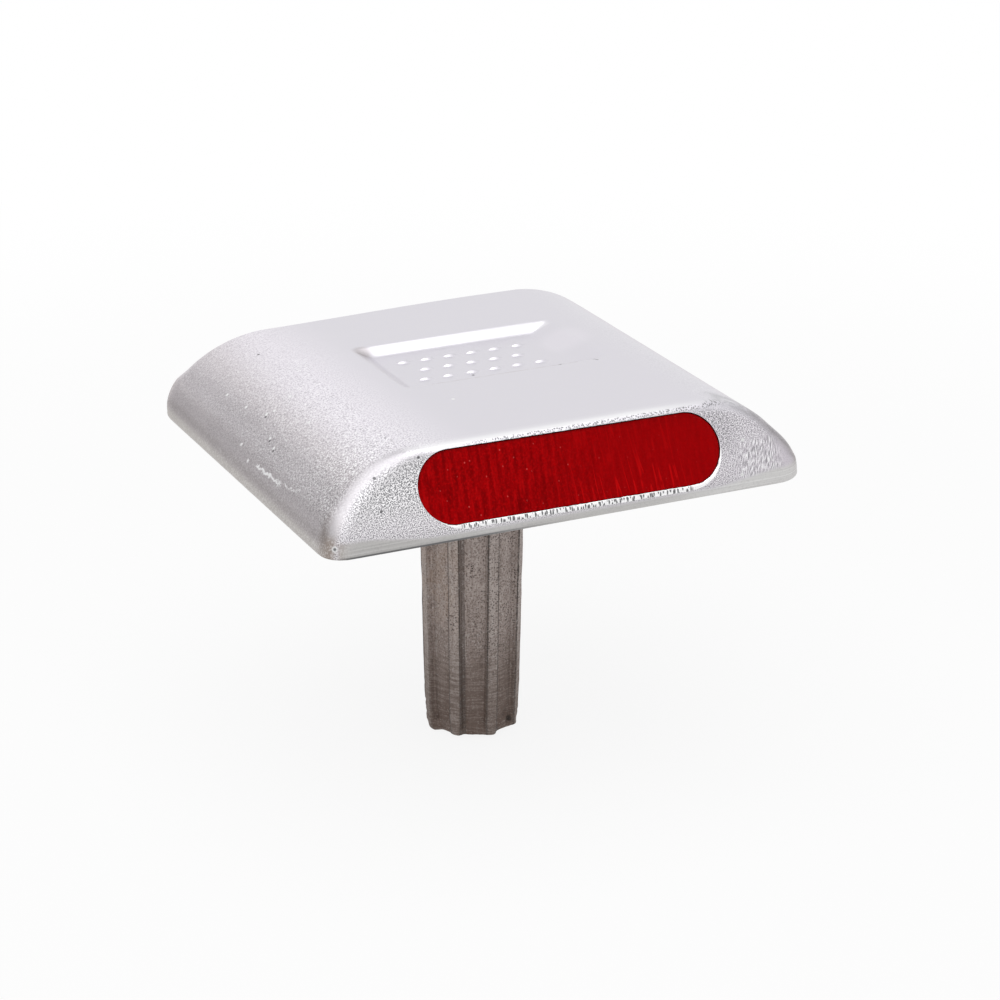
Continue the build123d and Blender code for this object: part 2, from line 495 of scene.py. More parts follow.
@dataclass(frozen=True)
class CastAluminium:
    """Bare cast aluminium: smooth on top, satin on the slopes, sandy on the end faces.

    A mark on the left slope lies at a Y and a way up the slope, one on the front face at
    an X and a way up the face, and one on top at an X and a Y.
    """

    body: "CastBody"
    plain: Colour = (0.68, 0.662, 0.706)
    # the shoulder, band and low-slope colours carry painted light and shade of the slopes
    shoulder: Colour = (0.78, 0.748, 0.80)
    slope: Colour = (0.645, 0.605, 0.63)
    lit_band: Colour = (0.72, 0.67, 0.69)
    shaded_low_slope: Colour = (0.50, 0.46, 0.465)
    foot: Colour = (0.58, 0.55, 0.53)
    sand_left: Colour = (0.93, 0.905, 0.93)
    sand_right: Colour = (0.588, 0.546, 0.595)
    # dark colour of grains and dots, also of the painted shade at the right hip
    dark_grain_and_shade: Colour = (0.18, 0.18, 0.19)
    rim: Colour = (0.52, 0.51, 0.50)
    # brown tarnish of stains, also used for painted shade on the panel's left wall
    tarnish_and_shade: Colour = (0.33, 0.28, 0.25)
    # dark colour of pits, grains and marks, also of painted shade along the rim's foot
    cavity: Colour = (0.10, 0.10, 0.105)
    pocket_shade: Colour = (0.03, 0.025, 0.025)
    peak: Colour = (0.96, 0.96, 0.965)
    hip: Colour = (0.482, 0.467, 0.488)
    grain_pace: float = 3.2
    cloud_pace: float = 0.12
    patch_pace: float = 0.5
    top_side: Span = (10.0, 12.0)
    flank_levels: tuple[Span, ...] = ((1.4, 2.8), (3.0, 5.0), (5.8, 8.2), (11.9, 16.7))
    panel_stain: Point = (-16.0, 17.0, 15.6)
    panel_stain_radius: float = 2.6
    panel_sheen: Point = (24.0, 7.5, 15.8)
    panel_sheen_radius: float = 7.0
    left_wall_shade: tuple[Place, Place] = ((-16.8, 15.5), (-16.4, -4.0))
    left_wall_shade_edge: Span = (2.2, 0.4)
    back_wall_highlight: Zone = (("y", 16.1, 16.5), ("y", 18.5, 18.1), ("x", -15.0, -12.5), ("x", 26.0, 24.5))
    front_line: tuple[Place, Place] = ((-13.0, -7.8), (19.0, -7.8))
    front_line_edge: Span = (0.6, 0.2)
    sand_left_x: Span = (14.0, -14.0)
    sand_upper_z: Span = (3.0, 11.0)
    sand_stop_x: Span = (45.5, 40.0)
    pepper: Sheet = Sheet(5.0, 5.0, layer=25.0)
    pepper_light: Span = (0.515, 0.58)
    pepper_dark: Span = (0.475, 0.415)
    dots: Scatter = Scatter(2.2, 2.2, edge=(0.38, 0.2))
    dotted: Zone = (("x", 21.0, 28.0), ("x", 38.0, 32.0), ("z", 6.0, 10.0))
    combed: Zone = (("x", 31.0, 38.0), ("x", 45.5, 42.0), ("z", 10.5, 7.5))
    comb: Sheet = Sheet(5.4, 0.8)
    comb_lean: float = 0.35
    comb_light: Span = (0.53, 0.6)
    comb_dark: Span = (0.48, 0.41)
    hip_low_z: Span = (9.5, 5.0)
    rim_lines: Sheet = Sheet(0.04, 4.2, layer=2.0, detail=2.0)
    rim_light_x: Span = (12.0, 34.0)
    rim_foot_shade: Zone = (("z", 0.75, 0.45), ("x", 4.0, -24.0))
    worked: Zone = (("x", -24.4, -22.6), ("x", 25.2, 23.4))
    strip_edge: Span = (0.0, 0.12)
    ticks: Scatter = Scatter(2.2, 0.5, edge=(0.42, 0.26))
    tick_reach: Span = (1.05, 0.9)
    crest_lit: Zone = (("x", -36.0, -24.0), ("x", 38.0, 14.0))
    crest_top_z: Span = (16.08, 16.22)
    flecks: Scatter = Scatter(2.2, 3.6, edge=(0.44, 0.2))
    flecked: Zone = (("patch", 0.25, 0.45), ("x", -28.0, -12.0), ("z", 16.26, 16.1))
    gap_dark_x: Span = (28.0, 18.0)
    slope_marks: Marks = Marks(
        side=(("x", 0.0, -10.0),),
        specks=(
            (19.0, 11.5), (9.5, 12.0), (0.5, 15.0), (1.5, 13.5), (1.5, 19.0),
            (-11.5, 17.5), (1.5, 6.0), (-9.5, 9.5), (-4.0, 4.5), (-6.0, 10.5),
        ),
        pits=((26.0, 21.5), (-6.5, 10.0), (1.0, 13.0), (-10.0, 9.0)),
    )
    face_marks: Marks = Marks(
        side=(("y", -34.0, -38.0),),
        specks=((36.5, 9.5), (35.0, 3.0)),
        pits=((-38.5, 7.7), (-29.5, 16.2), (-38.5, 13.8)),
    )
    top_marks: Marks = Marks(
        side=(("z", *top_side),),
        specks=((-12.0, -17.5),),
        pits=((15.5, -8.0), (-0.5, -2.0)),
    )
    speck_radius: float = 0.5
    pit_radius: float = 0.4
    pinhole: Point = (-48.1, -45.2, 2.2)
    pinhole_ring: float = 0.75
    scuff: Point = (-31.5, 12.8, 15.7)
    scuff_radius: float = 3.4
    scratch: tuple[Point, ...] = (
        (-48.5, -8.2, 5.4), (-48.4, -13.9, 5.6), (-48.3, -18.1, 5.6), (-47.7, -26.9, 6.6),
    )
    scratch_edge: Span = (0.42, 0.18)
    scratch_shake: Place = (0.7, 2.4)
    scratch_whole_y: Span = (-19.0, -16.0)
    scratch_fade_y: Span = (-22.0, -17.0)
    score: tuple[Place, Place] = ((22.6, -7.4), (23.4, -8.7))
    score_edge: Span = (0.26, 0.1)
    bump_height: float = 0.00012
    bump_strength: float = 0.6

    def coat_flanks(self, skin: CastSkin, paint: Paint) -> None:
        """Slopes with painted light and shade by height: darker low down, lighter in a band above the foot
        and at the shoulder; stained low corners.
        """
        flank = Paint(skin.graph, self.foot)
        # painted light and shade: each height band of the slope gets a darker or lighter colour
        for level, colour in zip(self.flank_levels, (self.shaded_low_slope, self.lit_band, self.slope, self.shoulder)):
            flank.coat(skin.z.ease(*level), colour)
        paint.coat(skin.graph.attribute("satin"), flank.colour)
        paint.coat(skin.graph.attribute("stain") * (0.7 + 0.6 * skin.cloud), self.tarnish_and_shade)

    def coat_panel(self, skin: CastSkin, paint: Paint) -> None:
        """Stain and painted sheen of the sunk panel, a painted highlight on its back wall, painted shade on
        its left wall and a dull line at its front.
        """
        graph = skin.graph
        stain = graph.spots(skin.place, (self.panel_stain,), self.panel_stain_radius)
        sheen = graph.spots(skin.place, (self.panel_sheen,), self.panel_sheen_radius)
        left_wall_shade = graph.stroke(skin.plan, *self.left_wall_shade).ease(*self.left_wall_shade_edge)
        front_line = graph.stroke(skin.plan, *self.front_line).ease(*self.front_line_edge)
        paint.coat(stain * 0.35, self.tarnish_and_shade)
        # painted sheen on the panel's right wall
        paint.coat(sheen * 0.35, self.shoulder)
        # painted shade on the panel's left wall
        paint.coat(left_wall_shade * skin.above * 0.12, self.tarnish_and_shade)
        # painted highlight on the panel's back wall
        paint.coat(skin.zone(self.back_wall_highlight) * skin.above * 0.25, self.peak)
        paint.coat(front_line * skin.above * skin.patch.ease(0.3, 0.6) * 0.45, self.tarnish_and_shade)

    def coat_sparkle(self, skin: CastSkin, paint: Paint) -> Value:
        """Painted shade at the right hip, then light and dark grains; gives the height of the grains."""
        graph = skin.graph
        # painted shade along the front right hip
        paint.coat(graph.attribute("shade") * skin.patch.ease(0.2, 0.6) * 0.42, self.dark_grain_and_shade)
        sparkle = graph.attribute("sparkle") * (1.0 - 0.4 * graph.attribute("hip"))
        paint.coat(sparkle * skin.grain.ease(0.5, 0.68), self.peak)
        paint.coat(sparkle * skin.dull * 0.55, self.cavity)
        return sparkle * skin.grain * 0.4

    def coat_sand(self, skin: CastSkin, paint: Paint) -> Value:
        """Sandy end faces and the hip beside them; gives the height of the sand.

        Light and dark grains lie all over. Dark dots stand at the upper left and right of
        the middle, and ripples as of a comb run near the right tip.
        """
        x, z, rise = skin.x, skin.z, skin.rise
        left, upper = x.ease(*self.sand_left_x), z.ease(*self.sand_upper_z)
        combed = skin.zone(self.combed)
        sandy = 0.75 + 0.3 * left * (0.3 + 0.7 * upper) - 0.45 * combed
        sandy = sandy * (0.2 + 0.8 * x.ease(*self.sand_stop_x))
        pepper = self.pepper.on(x, rise)
        ripple = self.comb.on(x - self.comb_lean * rise, rise)
        dots = self.dots.on(x, rise) * (left * upper * 0.9 + skin.zone(self.dotted) * 0.7)
        dotted = pepper.ease(*self.pepper_dark) * sandy + dots
        ground = Paint(skin.graph, self.sand_right)
        ground.coat(left * (0.2 + 0.8 * upper), self.sand_left)
        ground.coat(pepper.ease(*self.pepper_light) * sandy, self.peak)
        ground.coat(dotted.at_most(1.0), self.dark_grain_and_shade)
        ground.coat(combed * ripple.ease(*self.comb_light) * 0.8, self.peak)
        ground.coat(combed * ripple.ease(*self.comb_dark) * 0.65, self.dark_grain_and_shade)
        sand = skin.graph.attribute("sand")
        paint.coat(sand, ground.colour)
        # painted shade over the hip's highlight, stronger low down
        paint.coat(skin.graph.attribute("hip") * (0.76 + 0.12 * z.ease(*self.hip_low_z)), self.hip)
        return sand * (0.4 * pepper + 0.3 * combed * ripple - 0.4 * dotted)

    def coat_rim(self, skin: CastSkin, paint: Paint) -> None:
        """Rim with faint lines along it, lighter to the right and with a painted shade line low on the left.
        """
        lines = self.rim_lines.on(skin.x, skin.z)
        rim = Paint(skin.graph, self.rim)
        rim.coat(skin.x.ease(*self.rim_light_x) * 0.25 + lines.ease(0.5, 0.7) * 0.16, self.peak)
        rim.coat(lines.ease(0.48, 0.3) * 0.16 + skin.dull * 0.12, self.dark_grain_and_shade)
        # painted shade along the bottom of the rim, on the left
        rim.coat(skin.zone(self.rim_foot_shade) * 0.85, self.cavity)
        paint.coat(skin.graph.attribute("rim"), rim.colour)

    def coat_lip(self, skin: CastSkin, paint: Paint) -> Value:
        """Worked strip under the lens, painted highlight on the crest above, painted shade in the pocket
        round it; gives the ticks' height.
        """
        lip, crest, gap = (skin.graph.attribute(name) for name in ("lip", "crest", "gap"))
        worked = skin.zone(self.worked)
        strip = (lip + 0.5 * worked * (skin.patch - 0.5)).ease(*self.strip_edge)
        ticks = strip * self.ticks.on(skin.x, skin.rise) * lip.ease(*self.tick_reach) * worked
        flecks = self.flecks.on(skin.x, skin.z) * skin.zone(self.flecked)
        lit = skin.zone(self.crest_lit) * (0.15 + 0.53 * skin.z.ease(*self.crest_top_z))
        paint.coat(strip, self.peak)
        paint.coat(ticks * 0.9, self.cavity)
        # painted highlight along the top edge above the lens
        paint.coat(crest * lit, self.peak)
        paint.coat(crest * flecks * 0.8, self.cavity)
        # painted shade in the pocket round the lens, lighter at its right end
        paint.coat(gap * (0.25 + 0.45 * skin.x.ease(*self.gap_dark_x)), self.pocket_shade)
        return ticks * -0.6

    def spotted(self, skin: CastSkin) -> tuple[Value, Value]:
        """Shares of bright specks and of dark pits on the left slope, the front face and the top."""
        graph, body = skin.graph, self.body
        slope, face = radians(body.side_slope), radians(body.end_slope)
        up_slope = (skin.x + body.width / 2) * cos(slope) + skin.z * sin(slope)
        up_face = (skin.y + body.depth / 2) * cos(face) + skin.z * sin(face)
        flats = (graph.vector(skin.y, up_slope, 0.0), graph.vector(skin.x, up_face, 0.0), skin.plan)
        specks, pits = [], []
        for marks, flat in zip((self.slope_marks, self.face_marks, self.top_marks), flats):
            here = skin.zone(marks.side)
            specks.append(graph.spots(flat, marks.specks, self.speck_radius) * here)
            pits.append(graph.spots(flat, marks.pits, self.pit_radius) * here)
        return reduce(Value.at_least, specks), reduce(Value.at_least, pits)

    def coat_marks(self, skin: CastSkin, paint: Paint) -> tuple[Value, Value]:
        """Specks, pits, a scratch, a scuff, a pinhole and a scored mark.

        Args:
            skin: What the coats share.
            paint: Colour so far.

        Returns:
            Share of bright marks, and the height of all of them.
        """
        graph, y, grain = skin.graph, skin.y, skin.grain
        shaken = graph.shaken(skin.place, *self.scratch_shake)
        legs = [graph.stroke(shaken, *leg) for leg in zip(self.scratch, self.scratch[1:])]
        scratched = reduce(Value.at_most, legs).ease(*self.scratch_edge)
        scratched = scratched * grain.ease(0.3, 0.5).at_least(y.ease(*self.scratch_whole_y))
        scratched = scratched * (0.6 + 0.4 * y.ease(*self.scratch_fade_y))
        scuffed = graph.spots(skin.place, (self.scuff,), self.scuff_radius) * grain.ease(0.55, 0.66)
        ringed = graph.spots(skin.place, (self.pinhole,), self.pinhole_ring)
        specks, pits = self.spotted(skin)
        bright = reduce(Value.at_least, (specks, scratched, scuffed, ringed))
        pits = pits.at_least(graph.spots(skin.place, (self.pinhole,), self.pit_radius))
        scored = graph.stroke(skin.plan, *self.score) + 0.5 * (grain - 0.5)
        scored = scored.ease(*self.score_edge) * skin.above
        paint.coat(bright * 0.9, self.peak)
        paint.coat(pits.at_least(scored * 0.7) * 0.85, self.cavity)
        return bright, bright * 0.4 - pits

    def material(self) -> bpy.types.Material:
        """Build the finish from the zones that the casting's mesh holds."""
        material, graph = new_material("cast_aluminium")
        skin, paint = CastSkin(graph, self), Paint(graph, self.plain)
        self.coat_flanks(skin, paint)
        self.coat_panel(skin, paint)
        height = self.coat_sparkle(skin, paint)
        height = height + self.coat_sand(skin, paint)
        self.coat_rim(skin, paint)
        height = height + self.coat_lip(skin, paint)
        bright, worn = self.coat_marks(skin, paint)
        satin, sand = graph.attribute("satin"), graph.attribute("sand")
        sockets = {
            "Base Color": paint.colour,
            "Metallic": 1.0 - bright,
            "Roughness": 0.34 + 0.14 * satin + 0.1 * sand + 0.08 * (skin.cloud - 0.5),
            "Normal": graph.bump(height + worn, self.bump_height, self.bump_strength),
        }
        graph.close_principled(sockets)
        return material


@dataclass(frozen=True)
class RawShankMetal:
    """Untouched grey-brown casting skin of the shank, with drag lines and pits, and painted shade in the rib
    roots, along rib edges and toward the tip.
    """

    upper: Colour = (0.455, 0.385, 0.355)
    lower: Colour = (0.148, 0.10, 0.08)
    brown: Colour = (0.40, 0.31, 0.26)
    streak: Colour = (0.64, 0.59, 0.56)
    dirt: Colour = (0.16, 0.12, 0.10)
    pit: Colour = (0.05, 0.04, 0.035)
    drag_stretch: Point = (1.0, 1.0, 0.06)
    drag_pace: float = 1.8
    mottle_pace: float = 0.3
    grain_pace: float = 2.8
    pore_pace: float = 2.1
    pore_edge: Span = (0.42, 0.2)
    ripple_stretch: Point = (0.06, 0.06, 1.0)
    ripple_pace: float = 3.6
    ripple_shake: Place = (0.2, 1.2)
    darker_z: Span = (-26.0, -60.0)
    low_z: Span = (-36.0, -50.0)
    right_x: Span = (-7.0, 1.0)
    browned: Zone = (("x", -4.0, -7.0), ("z", -42.0, -30.0), ("mottle", 0.35, 0.6))
    seam_x: Span = (-9.6, -8.0)
    cavities: tuple[Point, ...] = ((4.0, -7.8, -56.8), (5.0, -7.1, -58.9))
    cavity_radius: float = 0.95
    pit_groups: tuple[Point, ...] = ((-7.7, -7.0, -34.9), (0.0, -10.1, -47.2), (-4.5, -9.5, -24.0))
    pit_group_radius: float = 3.0
    metallic: float = 0.55
    bump_height: float = 0.00022
    bump_strength: float = 0.7

    def material(self) -> bpy.types.Material:
        """Build the finish along the shank's own length."""
        material, graph = new_material("raw_shank_metal")
        place = graph.millimetres()
        x, _, z = graph.axes(place)
        root_shade, seam, crown = (graph.attribute(name) for name in ("root_shade", "seam", "crown"))
        drag = graph.noise(graph.scaled(place, self.drag_stretch), self.drag_pace, 3.0, 0.6)
        mottle = graph.noise(place, self.mottle_pace, 4.0, 0.65)
        grain = graph.noise(place, self.grain_pace, 2.0, 0.6)
        pores = graph.cells(place, self.pore_pace).ease(*self.pore_edge)
        shaken = graph.shaken(place, *self.ripple_shake)
        ripple = graph.noise(graph.scaled(shaken, self.ripple_stretch), self.ripple_pace)
        low, right = z.ease(*self.low_z), x.ease(*self.right_x)
        browned = graph.zone(self.browned, {"x": x, "z": z, "mottle": mottle})
        rib_edge_shaded = seam * mottle.ease(0.2, 0.45) * (0.35 + 0.6 * x.ease(*self.seam_x))
        grouped = graph.spots(place, self.pit_groups, self.pit_group_radius)
        pitted = (0.25 + 0.55 * right * mottle.ease(0.35, 0.55)).at_least(grouped)
        pitted = pores * (1.0 - low * 0.7) * pitted
        hollowed = graph.spots(place, self.cavities, self.cavity_radius) * grain.ease(0.3, 0.5)

        paint = Paint(graph, self.upper)
        # painted shade: darker toward the tip
        paint.coat(z.ease(*self.darker_z), self.lower)
        paint.coat(browned * 0.7, self.brown)
        paint.coat(crown * 0.2, self.streak)
        paint.coat(drag.ease(0.5, 0.7) * (0.3 - 0.2 * low), self.streak)
        paint.coat(drag.ease(0.46, 0.3) * 0.35, self.dirt)
        paint.coat(mottle.ease(0.5, 0.3) * 0.35, self.dirt)
        # painted shade in the rib roots, strongest on the sides that look to +X
        paint.coat(root_shade.ease(0.15, 1.0) * (0.5 + 0.2 * low), self.pit)
        # painted shade lines along the rib edges
        paint.coat(rib_edge_shaded, self.pit)
        paint.coat(low * ripple.ease(0.52, 0.42) * 0.65, self.dirt)
        paint.coat(low * ripple.ease(0.52, 0.62) * 0.12, self.streak)
        paint.coat(grain.ease(0.48, 0.32) * (0.85 - 0.15 * low), self.dirt)
        paint.coat(grain.ease(0.56, 0.70) * (0.55 - 0.3 * low), self.streak)
        paint.coat(pitted, self.pit)
        paint.coat(hollowed * 0.9, self.pit)
        height = grain * 0.6 + drag * 0.5 + low * ripple * 0.6 + mottle - pitted * 0.5
        sockets = {
            "Base Color": paint.colour,
            "Metallic": self.metallic,
            "Roughness": 0.5 + 0.25 * mottle,
            "Normal": graph.bump(height, self.bump_height, self.bump_strength),
        }
        graph.close_principled(sockets)
        return material


@dataclass(frozen=True)
class RedLensPlastic:
    """Deep red acrylic over upright prism columns, which show as thin streaks."""

    deep: Colour = (0.19, 0.0, 0.001)
    body: Colour = (0.375, 0.0006, 0.002)
    bright: Colour = (0.58, 0.003, 0.004)
    fleck: Colour = (0.80, 0.13, 0.12)
    shade: Colour = (0.012, 0.002, 0.002)
    lean: float = -0.06
    flare_lean: float = 0.07
    column_pace: float = 3.6
    column_wander: float = 5.0
    fine: Sheet = Sheet(1.5, 0.2, detail=2.0)
    wander: Sheet = Sheet(0.16, 0.14, layer=4.0, detail=2.0)
    wide: Sheet = Sheet(0.09, 0.12, layer=9.0)
    flares: Sheet = Sheet(0.8, 0.05, layer=7.0)
    flare_edge: Span = (0.0016, 0.0)
    broken: Sheet = Sheet(0.4, 0.3, layer=3.0)
    gathered: Sheet = Sheet(0.3, 0.06, layer=9.0)
    blotch: Sheet = Sheet(0.35, 0.3, layer=1.0)
    speckle: Sheet = Sheet(2.2, 2.2, layer=13.2, detail=2.0)
    flecks: Scatter = Scatter(0.25, 0.25, edge=(0.05, 0.015))
    left_x: Span = (14.0, -14.0)
    foot: Zone = (("x", -8.0, 6.0), ("x", 27.0, 20.0))
    foot_z: Span = (11.0, 5.0)
    dim: Zone = (("x", 8.0, 16.0), ("z", 12.4, 15.4))
    upper_z: Span = (8.0, 12.0)
    rim_foot_shade_x: Span = (26.0, 6.0)
    rim_light_x: Span = (-8.0, -24.0)
    roughness: float = 0.16
    specular: float = 0.02
    bump_height: float = 0.00004
    bump_strength: float = 0.4

    def material(self) -> bpy.types.Material:
        """Build the finish on the lens's own width and height."""
        material, graph = new_material("red_lens_plastic")
        x, _, z = graph.axes(graph.millimetres())
        across, measures = x + self.lean * z, {"x": x, "z": z}
        sheets = (self.fine, self.wander, self.wide, self.broken, self.gathered, self.blotch)
        fine, wander, wide, broken, gathered, blotch = (sheet.on(across, z) for sheet in sheets)
        bands = (across * self.column_pace + self.column_wander * wander).sine()
        flares = self.flares.on(x + self.flare_lean * z, z) - 0.5
        speckle, flecks = self.speckle.on(x, z), self.flecks.on(x, z)
        left, upper = x.ease(*self.left_x), z.ease(*self.upper_z)
        foot = graph.zone(self.foot, measures) * (0.35 + 0.65 * z.ease(*self.foot_z))
        thin = (flares * flares).ease(*self.flare_edge) * broken.ease(0.36, 0.5)
        dim_bands = bands.ease(0.3, -0.9) * broken.ease(0.3, 0.55)
        lit_bands = bands.ease(0.2, 1.0) * broken.ease(0.35, 0.6)
        rim = graph.attribute("rim")

        paint = Paint(graph, self.body)
        paint.coat(dim_bands * (0.12 + 0.38 * left), self.deep)
        paint.coat(blotch.ease(0.5, 0.3) * (0.1 + 0.25 * left), self.deep)
        paint.coat(gathered.ease(0.42, 0.3) * left * 0.5, self.deep)
        paint.coat(graph.zone(self.dim, measures) * 0.3, self.deep)
        paint.coat(lit_bands * (0.1 + 0.15 * left), self.bright)
        paint.coat(wide.ease(0.5, 0.3) * 0.3 * left, self.deep)
        paint.coat(speckle.ease(0.52, 0.66) * (0.15 + 0.3 * left), self.bright)
        paint.coat(speckle.ease(0.48, 0.34) * (0.15 + 0.25 * left), self.deep)
        paint.coat(fine.ease(0.52, 0.72) * (0.15 + 0.35 * left), self.bright)
        paint.coat(fine.ease(0.46, 0.30) * (0.1 + 0.25 * left), self.deep)
        paint.coat(foot * thin, self.bright)
        paint.coat(flecks * (0.1 + 0.45 * left) * speckle.ease(0.3, 0.6), self.fleck)
        # painted shadow of the pocket's top edge on the lens's upper rim, fading out toward the right end
        paint.coat(rim * upper * x.ease(*self.rim_foot_shade_x) * 0.5, self.shade)
        # painted reflection along the lens's lower rim at its left end
        paint.coat(rim * (1.0 - upper) * x.ease(*self.rim_light_x) * 0.7, self.bright)
        sockets = {
            "Base Color": paint.colour,
            "Roughness": self.roughness,
            "Specular IOR Level": self.specular,
            "Normal": graph.bump(fine, self.bump_height, self.bump_strength),
        }
        graph.close_principled(sockets)
        return material


@dataclass(frozen=True)
class MouldedPlastic:
    """Dull moulded or cured filler with a faint mottle."""

    name: str
    light: Colour
    dark: Colour
    roughness: float
    mottle_pace: float = 0.4
    grain_pace: float = 3.0
    bump_height: float = 0.00005
    bump_strength: float = 0.5

    def material(self) -> bpy.types.Material:
        """Build the finish from two shades and a fine grain."""
        material, graph = new_material(self.name)
        place = graph.millimetres()
        mottle = graph.noise(place, self.mottle_pace, 3.0, 0.6)
        grain = graph.noise(place, self.grain_pace, 2.0)
        sockets = {
            "Base Color": graph.mix(mottle.ease(0.35, 0.65), self.dark, self.light),
            "Roughness": self.roughness + 0.1 * (grain - 0.5),
            "Normal": graph.bump(grain, self.bump_height, self.bump_strength),
        }
        graph.close_principled(sockets)
        return material


@dataclass(frozen=True)
class LensLie:
    """How a lens and its pocket lie on the end face: a little to the right, low and slightly turned."""

    slide: Place = (0.33, -0.08)
    turn: float = -0.46

    @property
    def spin(self) -> Array:
        """Matrix that turns rows of X and rise."""
        angle = radians(self.turn)
        return np.array([[cos(angle), sin(angle)], [-sin(angle), cos(angle)]])

    def placed(self, flat: Array) -> Array:
        """Points about the lens's middle, turned and slid to their place on the face, as X and rise."""
        return flat @ self.spin + np.array(self.slide)

    def undone(self, flat: Array) -> Array:
        """Points on the face, brought back to the lens's own middle and axes."""
        return (flat - np.array(self.slide)) @ self.spin.T


@dataclass(frozen=True)
class SkinZones:
    """Where each kind of skin lies on the casting.

    The measures are the place (x, y, z), the distances from the side and end outlines
    (side, end, negative inside), the end distance with the rim's turn to the right tip
    (turned) and the height over the rim (over).
    """

    rim_height: float = 1.6
    rim_gain: float = 1.6
    rim_gain_x: Span = (28.0, 44.0)
    rim_turn: float = 3.0
    rim_turn_x: Span = (38.0, 46.0)
    rim: Zone = (("turned", -0.9, -0.4), ("over", 0.5, -0.5))
    rim_low_z: float = 0.02
    sand: Zone = (("end", -2.0, -0.3), ("side", -0.2, -2.0))
    sand_low_z: float = 0.05
    satin_left_x: Span = (-15.0, -33.0)
    satin_right_x: Span = (36.0, 44.0)
    crest: Zone = (("z", 15.2, 15.9), ("end", -2.6, -1.4))
    corner: Zone = (("side", -5.0, -1.0), ("end", -6.0, -1.5), ("z", 9.0, 3.2))
    corner_left_x: Span = (20.0, -20.0)
    hip: Zone = (("side", -4.5, -1.5), ("end", -3.6, -1.2), ("z", 3.0, 5.0), ("x", -26.0, -34.0))
    shade_run: Zone = (("end", -0.7, -1.9), ("end", -8.0, -5.0), ("side", -2.5, -0.8))
    shade_place: Zone = (("x", 32.0, 35.5), ("z", 1.5, 3.5))
    front_y: Span = (30.0, -10.0)
    edged: Zone = (("y", -18.0, -38.0), ("z", 4.0, 8.0))
    grain_left_x: Span = (-18.0, -34.0)
    grain_right_x: Span = (26.0, 36.0)
    grain_z: Span = (3.0, 8.0)

    def shares(self, body: "CastBody", grid: Array, lip: Array, away: Array) -> dict[str, Array]:
        """Shares of each kind of skin, for the finish.

        Args:
            body: The casting.
            grid: All points of its skin.
            lip: How far each point lies inside the worked strip beside a pocket.
            away: Distance of each point from a pocket's edge, negative in the pocket.

        Returns:
            Values by attribute name, each rings by columns.
        """
        x, y, z = (grid[..., axis] for axis in range(3))
        end, in_front = body.end_distance(x, y, z), y < 0.0
        measures = {"x": x, "y": y, "z": z, "end": end, "side": body.side_distance(x, z)}
        measures["turned"] = end + self.rim_turn * smooth_step(x, *self.rim_turn_x)
        rim_top = self.rim_height + self.rim_gain * smooth_step(np.abs(x), *self.rim_gain_x)
        measures["over"] = z - rim_top
        rim = share_of(self.rim, measures) * (z > self.rim_low_z)
        sand = share_of(self.sand, measures) * (1.0 - rim) * (away > 0.0) * (z > self.sand_low_z)
        satin = smooth_step(x, *self.satin_left_x) + smooth_step(x, *self.satin_right_x)
        corner = share_of(self.corner, measures) * (0.15 + 0.85 * smooth_step(x, *self.corner_left_x))
        # shade: where the finish paints shade along the front right hip
        shade = share_of(self.shade_run, measures) * share_of(self.shade_place, measures)
        grain = smooth_step(x, *self.grain_left_x) + 0.25 * smooth_step(x, *self.grain_right_x)
        grain = grain * (0.5 + 0.5 * smooth_step(z, *self.grain_z)) * (1.0 - sand)
        gain = 0.4 + 0.25 * smooth_step(y, *self.front_y) + 0.35 * share_of(self.edged, measures)
        return {
            "sand": sand,
            "satin": satin * (1.0 - sand),
            "rim": rim * (1.0 - corner),
            "lip": lip,
            "crest": share_of(self.crest, measures) * in_front,
            "stain": corner,
            # hip: where the finish paints shade over the hip's highlight and thins the grain
            "hip": share_of(self.hip, measures) * in_front * (1.0 - 0.5 * sand),
            "shade": shade * in_front,
            "sparkle": grain * gain,
            # gap: the pocket, where the finish paints shade
            "gap": np.where(away < 0.0, 1.0, 0.0),
        }


